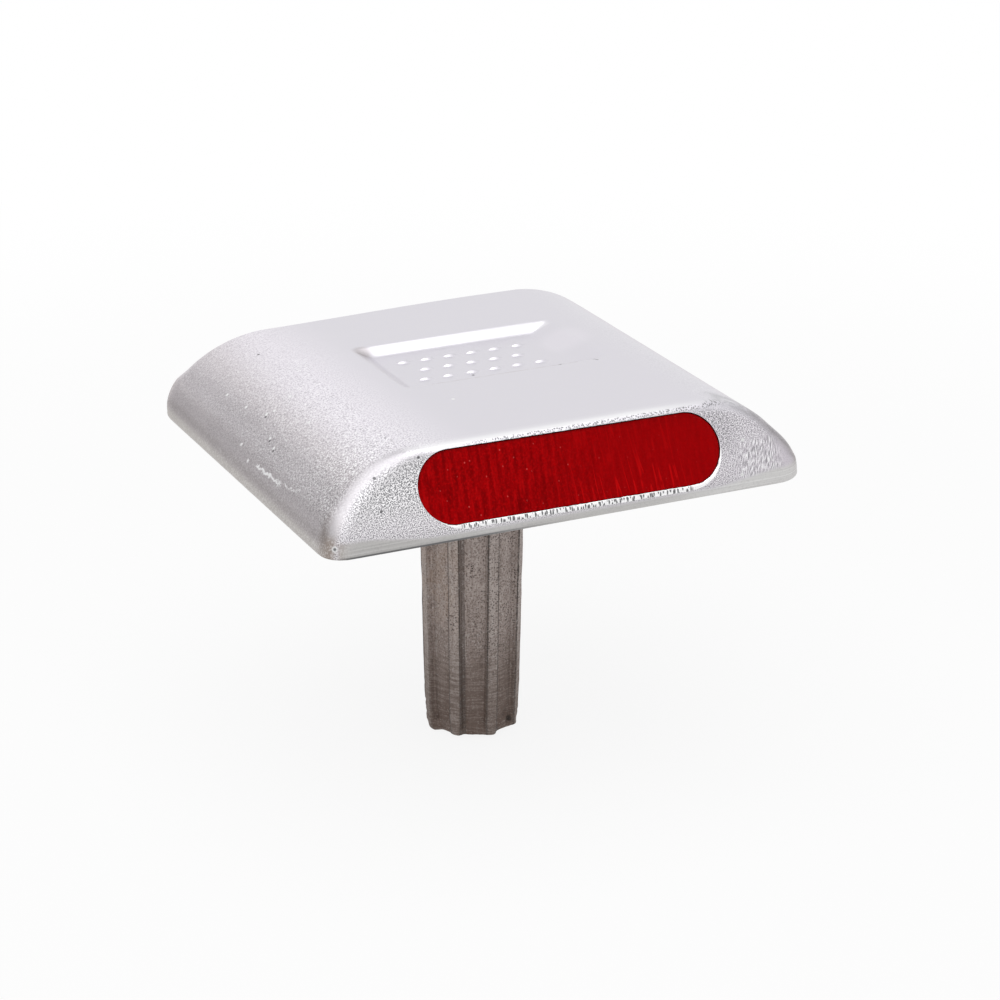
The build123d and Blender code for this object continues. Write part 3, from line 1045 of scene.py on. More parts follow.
@dataclass
class CastBody:
    """The casting: sloped sides, end faces with a pocket each, sunk top panel, keyed underside.

    Radii of hips and corners are listed front left, front right, rear left, rear right.
    """

    width: float = 100.0
    depth: float = 92.8
    height: float = 16.3
    side_rim_height: float = 4.4
    side_rim_radius: float = 11.1
    side_slope: float = 45.3
    shoulder_radius: float = 22.0
    end_rim_height: float = 3.0
    end_rim_radius: float = 4.0
    end_rim_corner_radius: float = 8.5
    end_rim_corner_x: Span = (32.0, 42.0)
    end_slope: float = 64.2
    top_edge_radius: float = 1.42
    hip_radii: tuple[float, ...] = (4.8, 7.0, 7.1, 7.1)
    hip_onsets: tuple[float, ...] = (0.5, 1.0, 1.0, 1.0)
    corner_radii: tuple[float, ...] = (4.7, 6.6, 9.9, 7.0)
    edge_cosines: Place = (-0.2, 0.95)
    foot_radius: float = 0.6
    core_low: Point = (-38.0, -33.0, 0.6)
    core_high: Point = (38.0, 33.0, 8.0)
    nudge: float = 1e-3
    newton_steps: int = 14
    least_climb: float = 0.05
    pocket_length: float = 62.3
    pocket_height: float = 13.92
    pocket_rise: float = 7.16
    pocket_depth: float = 4.1
    lip_sink: float = 0.22
    lip_bevel: float = 0.6
    lip_turns_right: tuple[float, ...] = (-90.0, -55.0, -25.0, 5.0)
    lip_widths_right: tuple[float, ...] = (1.15, 0.75, 0.42, 0.0)
    lip_turns_left: tuple[float, ...] = (-90.0, -75.0, -50.0)
    lip_widths_left: tuple[float, ...] = (1.1, 0.4, 0.0)
    panel_width: float = 44.0
    panel_length: float = 26.0
    panel_offset_x: float = 4.0
    panel_offset_y: float = 5.2
    panel_depth: float = 1.8
    panel_wall_run: float = 2.0
    panel_left_run: float = 3.4
    panel_right_run: float = 4.6
    panel_mitre_softness: float = 0.35
    panel_softness: float = 0.12
    panel_reach: float = 2.0
    bar_offset_x: float = 2.6
    bar_length: float = 3.4
    bar_width: float = 1.3
    bar_height: float = 0.4
    bar_pitch: float = 5.0
    bar_row_pitch: float = 5.4
    bar_edge: Span = (-0.1, 0.7)
    bars_in_rows: tuple[int, ...] = (6, 5, 6)
    tile: float = 10.0
    tile_columns: int = 8
    tile_rows: int = 7
    cell_half: float = 4.0
    cell_corner_radius: float = 1.5
    cell_corner_reach: float = 1.05
    cell_depth: float = 3.0
    boss_reach: float = 21.4
    boss_edge: float = 16.5
    seat_radius: float = 11.4
    seat_depth: float = 2.0
    bore_radius: float = 7.05
    bore_inner_radius: float = 6.6
    bore_top: float = 10.05
    reach_heights: tuple[float, ...] = (0.0, side_rim_height, 9.0, 14.0, height)
    reaches: tuple[float, ...] = (8.0, 7.0, 5.0, 3.0, 1.2)
    corner_reach: float = 2.5
    corner_reach_x: float = 42.0
    base_reach: float = 0.9
    reach_passes: int = 24
    last_line_y: float = 38.6
    sag_drop: float = 1.12
    sag_y: Span = (6.0, 44.0)
    sag_x: Span = (20.0, -40.0)
    plain_wave: float = 0.005
    satin_wave: float = 0.012
    sand_wave: float = 0.02
    lip_wave: float = 0.05
    waved_z: Span = (0.3, 2.0)
    sharp_angle: float = 50.0
    lie: LensLie = LensLie()
    zones: SkinZones = SkinZones()

    def side_distance(self, x: Array, z: Array) -> Array:
        """Distance to the side outline: rim wall, slope and top, with the bends rounded."""
        lean = radians(self.side_slope)
        wall = np.abs(x) - self.width / 2
        slope = wall * sin(lean) + (z - self.side_rim_height) * cos(lean)
        flank = round_max(wall, slope, self.side_rim_radius, sin(lean))
        return round_max(flank, z - self.height, self.shoulder_radius, cos(lean))

    def end_distance(self, x: Array, y: Array, z: Array) -> Array:
        """Distance to the end outline: rim wall and end face, with a rounder bend near the corners."""
        lean = radians(self.end_slope)
        wall = np.abs(y) - self.depth / 2
        slope = wall * sin(lean) + (z - self.end_rim_height) * cos(lean)
        near_corner = smooth_step(np.abs(x), *self.end_rim_corner_x)
        radius = self.end_rim_radius + (self.end_rim_corner_radius - self.end_rim_radius) * near_corner
        return round_max(wall, slope, radius, sin(lean))

    def distance(self, p: Array) -> Array:
        """Distance to the casting's outer form, without panel, pockets and cells.

        The side outline and the end outline meet in a rounded edge. Its radius follows
        the lean of the side: small along the top, larger down the hips, and another one
        at each upright corner of the rim. The foot is rounded against the underside.

        Args:
            p: Points, last axis X, Y, Z.

        Returns:
            Signed distance, negative inside.
        """
        x, y, z = (p[..., axis] for axis in range(3))
        tiny = self.nudge
        side, end = self.side_distance(x, z), self.end_distance(x, y, z)
        side_x = (self.side_distance(x + tiny, z) - self.side_distance(x - tiny, z)) / (2 * tiny)
        side_z = (self.side_distance(x, z + tiny) - self.side_distance(x, z - tiny)) / (2 * tiny)
        end_z = (self.end_distance(x, y, z + tiny) - self.end_distance(x, y, z - tiny)) / (2 * tiny)
        lean = np.abs(side_x)
        hip = sin(radians(self.side_slope))
        corner = 2 * (y > 0) + (x > 0)
        hip_radius, corner_radius = np.take(self.hip_radii, corner), np.take(self.corner_radii, corner)
        down = np.clip(lean / (hip * np.take(self.hip_onsets, corner)), 0.0, 1.0)
        out = np.clip((lean - hip) / (1.0 - hip), 0.0, 1.0)
        radius = self.top_edge_radius * (1.0 - down) + hip_radius * down + (corner_radius - hip_radius) * out
        form = round_max(side, end, radius, np.clip(side_z * end_z, *self.edge_cosines))
        return round_max(form, -z, self.foot_radius, 0.0)

    def slant(self, p: Array) -> Array:
        """Gradient of the distance, by central differences."""
        tiny = 2 * self.nudge
        steps = np.eye(3) * tiny
        return np.stack([(self.distance(p + s) - self.distance(p - s)) / (2 * tiny) for s in steps], axis=-1)

    def drawn_in(self, points: Array) -> Array:
        """Draw points of the sharp form in to the rounded one, each along a ray from a core box.

        The share of the ray that is left is found by Newton's steps from the sharp form
        inwards. Rays from a box never cross, so the skin doesn't fold.
        """
        core = np.clip(points, np.array(self.core_low), np.array(self.core_high))
        ray = points - core
        share = np.ones(points.shape[:-1])
        for _ in range(self.newton_steps):
            spot = core + ray * share[..., None]
            climb = (self.slant(spot) * ray).sum(axis=-1)
            share = share - self.distance(spot) / np.maximum(climb, self.least_climb)
        return core + ray * share[..., None]

    def sagged(self, points: Array) -> Array:
        """Points above the underside, lowered by the most at the top of the rear left corner."""
        x, y, z = (points[..., axis] for axis in range(3))
        share = smooth_step(y, *self.sag_y) * smooth_step(x, *self.sag_x)
        return np.stack([x, y, z / (1.0 + self.sag_drop * share / self.height)], axis=-1)

    def flat_half(self) -> float:
        """Half the width of the flat top, where the shoulders begin."""
        lean = radians(self.side_slope)
        run = (self.height - self.side_rim_height) / tan(lean)
        return self.width / 2 - run - self.shoulder_radius * tan(lean / 2)

    def bar_rows(self) -> list[float]:
        """Y of the rows of raised bars."""
        rows = len(self.bars_in_rows)
        return [self.panel_offset_y + (row - (rows - 1) / 2) * self.bar_row_pitch for row in range(rows)]

    def top_lines(self) -> Array:
        """X of the lines across the top, close together over the panel's walls and bars."""
        flat, half = self.flat_half(), self.panel_width / 2
        left, right = self.panel_offset_x - half, self.panel_offset_x + half
        edge, foot = 0.6, 0.5
        reach = (max(self.bars_in_rows) - 1) * self.bar_pitch / 2 + self.bar_length / 2 + 0.3
        stops = [-flat, left - edge, left + self.panel_left_run + foot]
        stops += [self.bar_offset_x - reach, self.bar_offset_x + reach]
        stops += [right - self.panel_right_run - foot, right + edge, flat]
        return spaced(stops, [14, 11, 5, 120, 5, 13, 5])

    def tile_lines(self, tiles: int) -> Array:
        """Lines across a row of keying tiles, doubled at the walls of the cells."""
        wall = self.cell_half / (self.tile / 2)
        half = np.array([0.5, 0.6, 0.7, wall - 0.03, wall, 0.9])
        pattern = np.concatenate([[-1.0], -half[::-1], [0.0], half])
        centres = (np.arange(tiles) - (tiles - 1) / 2) * self.tile
        return np.append((centres[:, None] + pattern * self.tile / 2).ravel(), tiles * self.tile / 2)

    def flank(self) -> Array:
        """Right flank of the section from the flat top down to the underside, as X and Z.

        Shoulder arc, straight slope, arc of the rim, rim wall and the small foot arc.
        """
        lean = radians(self.side_slope)
        half, bend, foot = self.width / 2, self.side_rim_radius, self.foot_radius
        shoulder = (self.flat_half(), self.height - self.shoulder_radius)
        upper = arc(shoulder, self.shoulder_radius, np.linspace(pi / 2, pi / 2 - lean, 28)[1:])
        bend_z = self.side_rim_height - bend * tan((pi / 2 - lean) / 2)
        low = asin(max(0.0, (foot + 0.2 - bend_z) / bend))
        rim = arc((half - bend, bend_z), bend, np.linspace(pi / 2 - lean, low, 15))
        heel = arc((half - foot, foot), foot, np.linspace(0.0, -pi / 2, 5))
        slope = upper[-1] + (rim[0] - upper[-1]) * np.linspace(0.0, 1.0, 11)[1:-1, None]
        wall = rim[-1] + (heel[0] - rim[-1]) * np.array([[1 / 3], [2 / 3]])
        return np.concatenate([upper, slope, rim, wall, heel])

    def section(self) -> tuple[Array, Array]:
        """Closed outline of the casting across its width, as seen from the front.

        Returns:
            X and Z of the outline, clockwise from the top left, and for each point how far
            it is from the top (0) to the underside (1).
        """
        top, right = self.top_lines(), self.flank()
        base = self.tile_lines(self.tile_columns)[::-1]
        edge = np.linspace(self.width / 2 - self.foot_radius, base[0], 7)[1:-1]
        base = np.concatenate([edge, base, -edge[::-1]])
        fall = smooth_step(np.linspace(0.0, 1.0, len(right)), 0.1, 0.9)
        downward = np.concatenate([np.zeros(len(top)), fall, np.ones(len(base)), fall[::-1]])
        top = np.stack([top, np.full_like(top, self.height)], axis=-1)
        base = np.stack([base, np.zeros_like(base)], axis=-1)
        return np.concatenate([top, right, base, right[::-1] * np.array([-1.0, 1.0])]), downward

    def outward(self, end: End) -> Array:
        """Normal of an end face."""
        lean = radians(self.end_slope)
        return np.array([0.0, end.value * sin(lean), cos(lean)])

    def face_point(self, x: Array, rise: Array, end: End) -> Array:
        """Point on the sharp end face; rise counts up the face from the bend and down the rim below it."""
        lean = radians(self.end_slope)
        up = np.maximum(rise, 0.0)
        y = end.value * (self.depth / 2 - up * cos(lean))
        return np.stack([x, y, self.end_rim_height + up * sin(lean) + np.minimum(rise, 0.0)], axis=-1)

    def pocket_middle(self, end: End) -> Array:
        """Middle of a pocket's mouth on the sharp end face, before it slides."""
        return self.face_point(np.zeros(1), np.full(1, self.pocket_rise), end)[0]

    def beyond_pocket(self, flat: Array) -> tuple[Array, Array, Array, float]:
        """Points on the end face, given as X and rise, in the pocket's own axes.

        Returns:
            X and rise from the pocket's middle, how far X lies past the straight part, and
            half the length of that part.
        """
        straight = (self.pocket_length - self.pocket_height) / 2
        own = self.lie.undone(flat - np.array([0.0, self.pocket_rise]))
        return own[:, 0], own[:, 1], np.maximum(np.abs(own[:, 0]) - straight, 0.0), straight

    def pocket_rim(self, outline: Array) -> Array:
        """Point of the pocket's edge that each outline point looks at, as X and rise.

        Straight across above and below the pocket, and along the radius of its round ends.
        """
        x, rise, beyond, straight = self.beyond_pocket(outline)
        share = self.pocket_height / 2 / np.hypot(beyond, rise)
        rim_x = np.clip(x, -straight, straight) + np.sign(x) * beyond * share
        return self.lie.placed(np.stack([rim_x, rise * share], axis=-1)) + np.array([0.0, self.pocket_rise])

    def lip_width(self, rim: Array) -> Array:
        """Width of the worked strip by the pocket: broad below, thin up its right end, none elsewhere."""
        _, rise, beyond, _ = self.beyond_pocket(rim)
        turn = np.degrees(np.arctan2(rise, beyond))
        right = np.interp(turn, self.lip_turns_right, self.lip_widths_right)
        left = np.interp(turn, self.lip_turns_left, self.lip_widths_left)
        return np.where(rim[:, 0] > 0.0, right, left)

    def round_reach(self, outline: Array, downward: Array) -> Array:
        """How far from the sharp edge its rounding reaches, at each point of the section."""
        steep = np.interp(outline[:, 1], self.reach_heights, self.reaches)
        base = np.where(np.abs(outline[:, 0]) > self.corner_reach_x, self.corner_reach, self.base_reach)
        return evened(np.where(downward >= 1.0, base, steep), self.reach_passes)

    def end_rings(self, end: End) -> tuple[Array, Array, Array]:
        """Rings over an end face, from the pocket's edge out to the sharp outline.

        Each ring lies between the pocket's edge and the section's outline, both unrolled
        on the end face. Rings crowd at the pocket's lip and where the edge is rounded.
        Every point is then drawn in to the rounded form.

        Args:
            end: The end face.

        Returns:
            Points rings by columns by 3, how far each point lies inside the worked strip
            beside the pocket, and its distance from the pocket's edge.
        """
        outline, downward = self.section()
        z = outline[:, 1] - self.end_rim_height
        rise = np.where(z > 0, z / sin(radians(self.end_slope)), z)
        unrolled = np.stack([outline[:, 0], rise], axis=-1)
        inner = self.pocket_rim(unrolled)
        gap = np.linalg.norm(unrolled - inner, axis=-1)
        reach = np.minimum(self.round_reach(outline, downward), 0.62 * gap)
        lip = np.minimum(0.9, 0.3 * gap)
        steps = [
            np.linspace(0.0, 1.0, 6)[:, None] * lip,
            lip + np.linspace(0.0, 1.0, 26)[1:, None] * (gap - reach - lip),
            gap - reach + np.linspace(0.0, 1.0, 11)[1:, None] * reach,
        ]
        away = np.concatenate(steps)
        spread = inner + (unrolled - inner) * (away / gap)[..., None]
        points = self.drawn_in(self.face_point(spread[..., 0], spread[..., 1], end))
        width = self.lip_width(inner)
        bevelled = self.lip_bevel * width
        bevel = np.maximum(bevelled - away, 0.0) / np.maximum(bevelled, 0.3)
        points = points - self.outward(end) * (self.lip_sink * bevel * bevel)[..., None]
        return points, width - away, away

    def length_lines(self) -> tuple[Array, Array]:
        """Y of the lines between the two ends, over the top and over the underside."""
        base = self.tile_lines(self.tile_rows)
        border = np.linspace(self.base_reach - self.depth / 2, base[0], 6)[:-1]
        below = np.concatenate([border, base, -border[::-1]])
        front = self.panel_offset_y - self.panel_length / 2
        rear = self.panel_offset_y + self.panel_length / 2
        edge, foot, beside = 0.7, self.panel_wall_run + 0.6, 0.95
        stops, counts = [-self.last_line_y, front - edge, front + foot], [24, 9]
        for middle in self.bar_rows():
            stops += [middle - beside, middle + beside]
            counts += [4, 11]
        stops += [rear - foot, rear + edge, self.last_line_y]
        counts += [4, 9]
        counts.append(len(below) - 1 - sum(counts))
        return spaced(stops, counts), below

    def length_rings(self) -> tuple[Array, Array]:
        """Rings from the front outline to the rear outline along the length.

        Each point keeps its place on the section. Near the ends the rings crowd where the
        edge is rounded, and between them they pass from the top's lines to the underside's.

        Returns:
            Points rings by columns by 3, and how far each column is from top to underside.
        """
        outline, downward = self.section()
        x, z = outline[:, 0], outline[:, 1]
        sharp = self.depth / 2 - np.maximum(z - self.end_rim_height, 0.0) / tan(radians(self.end_slope))
        reach = self.round_reach(outline, downward)
        above, below = self.length_lines()
        middle = above[:, None] * (1.0 - downward) + below[:, None] * downward
        begin = -sharp + reach
        middle = middle * np.abs(np.where(middle < 0, begin / middle[0], begin / -middle[-1]))
        near = np.linspace(0.0, 1.0, 10)[1:-1, None]
        y = np.concatenate([-sharp + reach * near, middle, sharp - reach * near[::-1]])
        points = np.stack([np.broadcast_to(x, y.shape), y, np.broadcast_to(z, y.shape)], axis=-1)
        return self.drawn_in(points), np.broadcast_to(downward, y.shape)

    def pocket_rings(self, mouth: Array, end: End) -> Array:
        """Rings of a pocket from the middle of its floor, a point, out and up to its mouth."""
        outward, middle = self.outward(end), self.pocket_middle(end)
        depth = (mouth - middle) @ outward
        floor = mouth - (depth + self.pocket_depth)[:, None] * outward
        centre = middle - self.pocket_depth * outward
        floor_rings = centre + (floor - centre) * np.array([0.0, 0.35, 0.7, 0.985])[:, None, None]
        wall_rings = mouth + (floor - mouth) * np.array([0.97, 0.5, 0.1])[:, None, None]
        return np.concatenate([floor_rings, wall_rings])

    def panel_drop(self, x: Array, y: Array) -> Array:
        """Depth of the sunk panel below the top at each place, less the raised bars.

        Each wall slopes down over its own run. The lowest of the walls counts, with the
        mitre between two of them and the edges of the slope softened.
        """
        side_run = np.where(x > self.panel_offset_x, self.panel_right_run, self.panel_left_run)
        sides = (self.panel_width / 2 - np.abs(x - self.panel_offset_x)) / side_run
        ends = (self.panel_length / 2 - np.abs(y - self.panel_offset_y)) / self.panel_wall_run
        share = sides - soft_ramp(sides - ends, self.panel_mitre_softness)
        ramp = soft_ramp(share, self.panel_softness) - soft_ramp(share - 1.0, self.panel_softness)
        drop = np.where(share > -self.panel_reach, ramp * self.panel_depth, 0.0)
        bars = np.zeros_like(x)
        for middle, count in zip(self.bar_rows(), self.bars_in_rows):
            places = self.bar_offset_x + (np.arange(count) - (count - 1) / 2) * self.bar_pitch
            beside = np.abs(x[..., None] - places).min(axis=-1)
            inside = 1.0 - np.hypot(beside / self.bar_length, (y - middle) / self.bar_width) * 2.0
            bars = np.maximum(bars, smooth_step(inside, *self.bar_edge))
        return drop - bars * self.bar_height

    def cells_pressed(self, x: Array, y: Array) -> Array:
        """Points of the underside's tiles, at each X and Y, with the keying cells pressed in.

        In each tile the ring of lines at the cell's wall is drawn to a rounded square and
        the lines inside it rise to the cell's floor.
        """
        last_column, last_row = self.tile_columns / 2 - self.nudge, self.tile_rows / 2 - self.nudge
        column_middle = (np.floor(np.clip(x / self.tile, -last_column, last_column)) + 0.5) * self.tile
        row_middle = np.round(np.clip(y / self.tile, -last_row, last_row)) * self.tile
        across, along = x - column_middle, y - row_middle
        wide, long = np.abs(across), np.abs(along)
        size = np.maximum(wide, long)
        half, radius = self.cell_half, self.cell_corner_radius
        keyed = np.hypot(column_middle, row_middle) > self.boss_reach
        excess_x, excess_y = wide - (size - radius), long - (size - radius)
        in_corner = keyed & (size <= half + SLACK) & (size > half - self.cell_corner_reach)
        in_corner = in_corner & (excess_x > 0) & (excess_y > 0)
        turn = np.where(wide >= long, excess_y, 2 * radius - excess_x) / (2 * radius) * pi / 2
        arc_x = np.sign(across) * (size - radius + radius * np.cos(turn))
        arc_y = np.sign(along) * (size - radius + radius * np.sin(turn))
        x = np.where(in_corner, column_middle + arc_x, x)
        y = np.where(in_corner, row_middle + arc_y, y)
        return np.stack([x, y, np.where(keyed & (size < half - 0.05), self.cell_depth, 0.0)], axis=-1)

    def seat_pressed(self, points: Array) -> Array:
        """Points of the underside's tiles with the shank's seat and bore pressed into their middle.

        Square rings of lines about the middle are drawn to circles: the bore, the floor of
        the seat and its edge. Outside it they pass back to the grid.
        """
        x, y, z = (points[..., axis] for axis in range(3))
        rows, columns = x.shape
        down = np.arange(rows)[:, None] - (rows - 1) // 2
        over = np.arange(columns)[None, :] - (columns - 1) // 2
        level = np.maximum(np.abs(down), np.abs(over)).astype(float)
        sideways = np.abs(over) >= np.abs(down)
        turn = np.where(sideways, down, over) / np.maximum(level, 1.0) * pi / 4
        round_x = np.where(sideways, -np.sign(over) * np.cos(turn), -np.sin(turn))
        round_y = np.where(sideways, np.sin(turn), np.sign(down) * np.cos(turn))
        bore, seat, deep, shallow = self.bore_radius, self.seat_radius, self.bore_top, self.seat_depth
        first, mouth, last = 10.0, 14.0, 21.0
        levels = [0.0, first, first + 1, first + 2, first + 3, mouth, last]
        radii = [0.0, self.bore_inner_radius, bore, bore, seat, seat, self.boss_edge]
        ring = np.interp(level, levels, radii)
        rise = np.interp(level, levels, [deep, deep, deep, shallow, shallow, 0.0, 0.0])
        blend = np.clip((last - level) / (last - mouth), 0.0, 1.0)
        x = np.where(level < last, x + (ring * round_x - x) * blend, x)
        y = np.where(level < last, y + (ring * round_y - y) * blend, y)
        return np.stack([x, y, np.where(level < mouth + 0.5, rise, z)], axis=-1)

    def press_underside(self, points: Array, columns: Array) -> None:
        """Press the keying cells and the shank's seat into the tiled columns of the length, in place."""
        edge = self.tile_rows * self.tile / 2
        rows = np.flatnonzero(np.abs(points[:, columns[0], 1]) <= edge + SLACK)
        block = np.ix_(rows, columns)
        points[block] = self.seat_pressed(self.cells_pressed(points[block][..., 0], points[block][..., 1]))

    def build(self) -> bpy.types.Object:
        """Build the whole skin: pocket, end face, length, end face, pocket, as one grid of rings."""
        outline, downward = self.section()
        front, front_lip, front_away = self.end_rings(End.FRONT)
        rear, rear_lip, rear_away = self.end_rings(End.REAR)
        length, fall = self.length_rings()
        on_top = (fall == 0.0) & (length[..., 2] > self.height - 0.02)
        length[..., 2] -= np.where(on_top, self.panel_drop(length[..., 0], length[..., 1]), 0.0)
        tiled = np.abs(outline[:, 0]) <= self.tile_columns * self.tile / 2 + SLACK
        self.press_underside(length, np.flatnonzero((downward >= 1.0) & tiled))
        front_pocket = self.pocket_rings(front[0], End.FRONT)
        rear_pocket = self.pocket_rings(rear[0], End.REAR)
        grid = np.concatenate([front_pocket, front, length, rear[::-1], rear_pocket[::-1]])
        inside, far = -9.0, 90.0
        hidden = np.full(front_pocket.shape[:2], inside)
        lip = np.concatenate([hidden, front_lip, np.full(fall.shape, inside), rear_lip[::-1], hidden])
        away = np.concatenate([hidden, front_away, np.full(fall.shape, far), rear_away[::-1], hidden])
        shares = self.zones.shares(self, grid, lip, away)
        grid = self.sagged(self.weather(grid, shares))
        return make_piece("cast_body", grid, "body_casting", shares, self.sharp_angle)

    def weather(self, grid: Array, shares: dict[str, Array]) -> Array:
        """Sink the skin along its normals by the casting's unevenness, as the shares of skin ask."""
        along = np.gradient(grid, axis=0)
        across = np.roll(grid, -1, axis=1) - np.roll(grid, 1, axis=1)
        inward = np.cross(along, across)
        inward /= np.maximum(np.linalg.norm(inward, axis=-1, keepdims=True), 1e-9)
        ragged = smooth_step(shares["lip"], 0.0, 0.3) + 0.4 * shares["crest"]
        uneven = Undulation(11, 14.0).at(grid) * (self.plain_wave + self.satin_wave * shares["satin"])
        uneven = uneven + Undulation(12, 2.2).at(grid) * self.sand_wave * shares["sand"]
        uneven = uneven + Undulation(13, 1.1).at(grid) * self.lip_wave * ragged
        return grid + inward * np.abs(uneven * smooth_step(grid[..., 2], *self.waved_z))[..., None]

    def dress(self, piece: bpy.types.Object) -> None:
        """Give the casting its finish."""
        piece.data.materials.append(CastAluminium(self).material())


@dataclass
class AnchorShank:
    """Ribbed, slightly tapered shank, cast rough, with a spigot in the body."""

    length: float = 61.4
    root_diameter: float = 22.2
    tip_diameter: float = 19.7
    seat_depth: float = CastBody.seat_depth
    ribs: int = 8
    rib_width: float = 2.6
    rib_height: float = 1.2
    rib_round: float = 0.45
    end_radius: float = 1.1
    blunt_reach: float = 3.0
    blunt_passes: int = 40
    spigot_radius: float = 7.0
    spigot_top: float = 10.0
    spigot_chamfer: float = 0.8
    fine_level: float = -50.0
    low_z: Span = (-50.0, -59.0)
    broad_wave: float = 0.05
    low_wave: float = 0.12
    end_wave: float = 0.22
    step_level: float = -57.6
    step_width: float = 0.5
    step_depth: float = 0.22
    dents: tuple[Point, ...] = (*RawShankMetal.cavities, (-8.7, -0.8, -58.2))
    dent_depth: float = 0.7
    dent_edge: Span = (1.1, 0.2)
    skin_top: float = -0.3
    skin_radius: Span = (4.0, 7.0)
    front_lift: float = 0.5
    front_lift_y: Span = (-1.0, -8.0)
    end_lift_reach: float = 1.2
    sharp_angle: float = 60.0

    def half_rib(self, diameter: float) -> tuple[Array, Array, Array, Array]:
        """Outline from the middle of a rib to the middle of the groove beside it.

        Flat crown, rounded edge, flank, rounded root and the core's arc.

        Args:
            diameter: Diameter over the ribs.

        Returns:
            X out and Y across, how near each point is to the groove's root, how near it is
            to the middle of the rounded edge, and its share of crown.
        """
        outer, core = diameter / 2, diameter / 2 - self.rib_height
        half, bend = self.rib_width / 2, self.rib_round
        crown = np.stack([np.full(4, outer), np.linspace(0.0, half - bend, 5)[:-1]], axis=-1)
        edge = arc((outer - bend, half - bend), bend, np.linspace(0.0, pi / 2, 6))
        root_y = half + bend
        root_x = np.sqrt((core + bend) ** 2 - root_y**2)
        lean = asin(root_y / (core + bend))
        root = arc((root_x, root_y), bend, np.linspace(-pi / 2, lean - pi, 6))
        sweep = np.linspace(lean, pi / self.ribs, 12)[1:]
        floor = arc((0.0, 0.0), core, sweep)
        fade = smooth_step(core * (sweep - lean), 0.5, 0.05)
        beyond = np.zeros(len(root) + len(floor))
        # shares of painted shade: in the groove's root, and along the middle of the rounded edge
        root_shade = np.concatenate([np.zeros(7), np.linspace(0.2, 0.7, 3), np.linspace(0.8, 1.0, 6), fade])
        seam = np.concatenate([np.zeros(4), [0.0, 0.3, 1.0, 1.0, 0.3, 0.0], beyond])
        top = np.concatenate([np.ones(4), np.linspace(1.0, 0.0, 6), beyond])
        return np.concatenate([crown, edge, root, floor]), root_shade, seam, top

    def whole(self, half: Array) -> Array:
        """Values of a half rib, mirrored at the rib's middle and repeated from rib to rib."""
        return np.tile(np.concatenate([half[1:-1][::-1], half]), self.ribs)

    def shaded_sides(self, half: Array) -> Array:
        """Values of a half rib on all ribs, for painted shade: full on the sides that look to +X, away from
        the light, and weak on the others.
        """
        across = np.sin(np.arange(self.ribs) * 2 * pi / self.ribs)[:, None]
        left, right = (0.25 + 0.75 * smooth_step(way * across, 0.2, 0.7) for way in (1.0, -1.0))
        return np.concatenate([left * half[1:-1][::-1], right * half], axis=1).ravel()

    def outline(self, diameter: float) -> Array:
        """Whole ribbed outline, mirrored at each rib's middle and turned from rib to rib."""
        half, _, _, _ = self.half_rib(diameter)
        one = np.concatenate([half[1:-1][::-1] * np.array([1.0, -1.0]), half])
        angle = np.arange(self.ribs) * 2 * pi / self.ribs
        spin = np.array([[np.cos(angle), -np.sin(angle)], [np.sin(angle), np.cos(angle)]])
        return np.einsum("ijk,nj->kni", spin, one).reshape(-1, 2)

    def spigot_rings(self, angle: Array) -> Array:
        """Rings of the spigot from its top down to the seat, with points at those angles."""
        wide, top = self.spigot_radius, self.spigot_top
        radii = np.array([0.0, wide - self.spigot_chamfer, wide, wide])
        heights = np.array([top, top, top - self.spigot_chamfer, self.seat_depth])
        return raised(arc((0.0, 0.0), 1.0, angle) * radii[:, None, None], heights[:, None])

    def flank_rings(self, root: Array, tip: Array, blunt: Array) -> Array:
        """Rings of the ribbed flank, from the seat's outline to the blunt outline at the end."""
        foot = self.end_radius - self.length
        levels = spaced([self.seat_depth, 0.0, self.fine_level, foot], [4, 69, 31])
        share = ((self.seat_depth - levels) / (self.seat_depth + self.length))[:, None, None]
        ending = smooth_step(levels, foot + self.blunt_reach, foot)[:, None, None]
        return raised(root + (tip - root) * share + (blunt - tip) * ending, levels[:, None])

    def end_rings(self, blunt: Array) -> tuple[Array, Array]:
        """Rings round the edge of the shank's end, and those across its flat."""
        turn = np.linspace(0.0, pi / 2, 8)[1:, None]
        inset = (self.end_radius * (1.0 - np.cos(turn)))[..., None]
        curl = blunt * (1.0 - inset / np.linalg.norm(blunt, axis=-1, keepdims=True))
        flat = curl[-1:] * np.array([0.8, 0.5, 0.2, 0.0])[:, None, None]
        return raised(curl, self.end_radius * (1.0 - np.sin(turn)) - self.length), raised(flat, -self.length)

    def build(self) -> bpy.types.Object:
        """Build the shank from its spigot down to its rounded end, as one grid of rings."""
        root, tip = self.outline(self.root_diameter), self.outline(self.tip_diameter)
        blunt = evened(tip, self.blunt_passes)
        spigot = self.spigot_rings(np.arctan2(root[:, 1], root[:, 0]))
        curl, base = self.end_rings(blunt)
        grid = self.weather(np.concatenate([spigot, self.flank_rings(root, tip, blunt), curl, base]))[::-1]
        _, root_shade, seam, crown = self.half_rib(self.root_diameter)
        ribbed = np.zeros((len(grid), 1))
        ribbed[len(base):-len(spigot)] = 1.0
        shares = {"root_shade": self.shaded_sides(root_shade), "seam": self.whole(seam), "crown": self.whole(crown)}
        shares = {name: ribbed * share for name, share in shares.items()}
        return make_piece("ribbed_shank", grid, "anchor_shank", shares, self.sharp_angle)

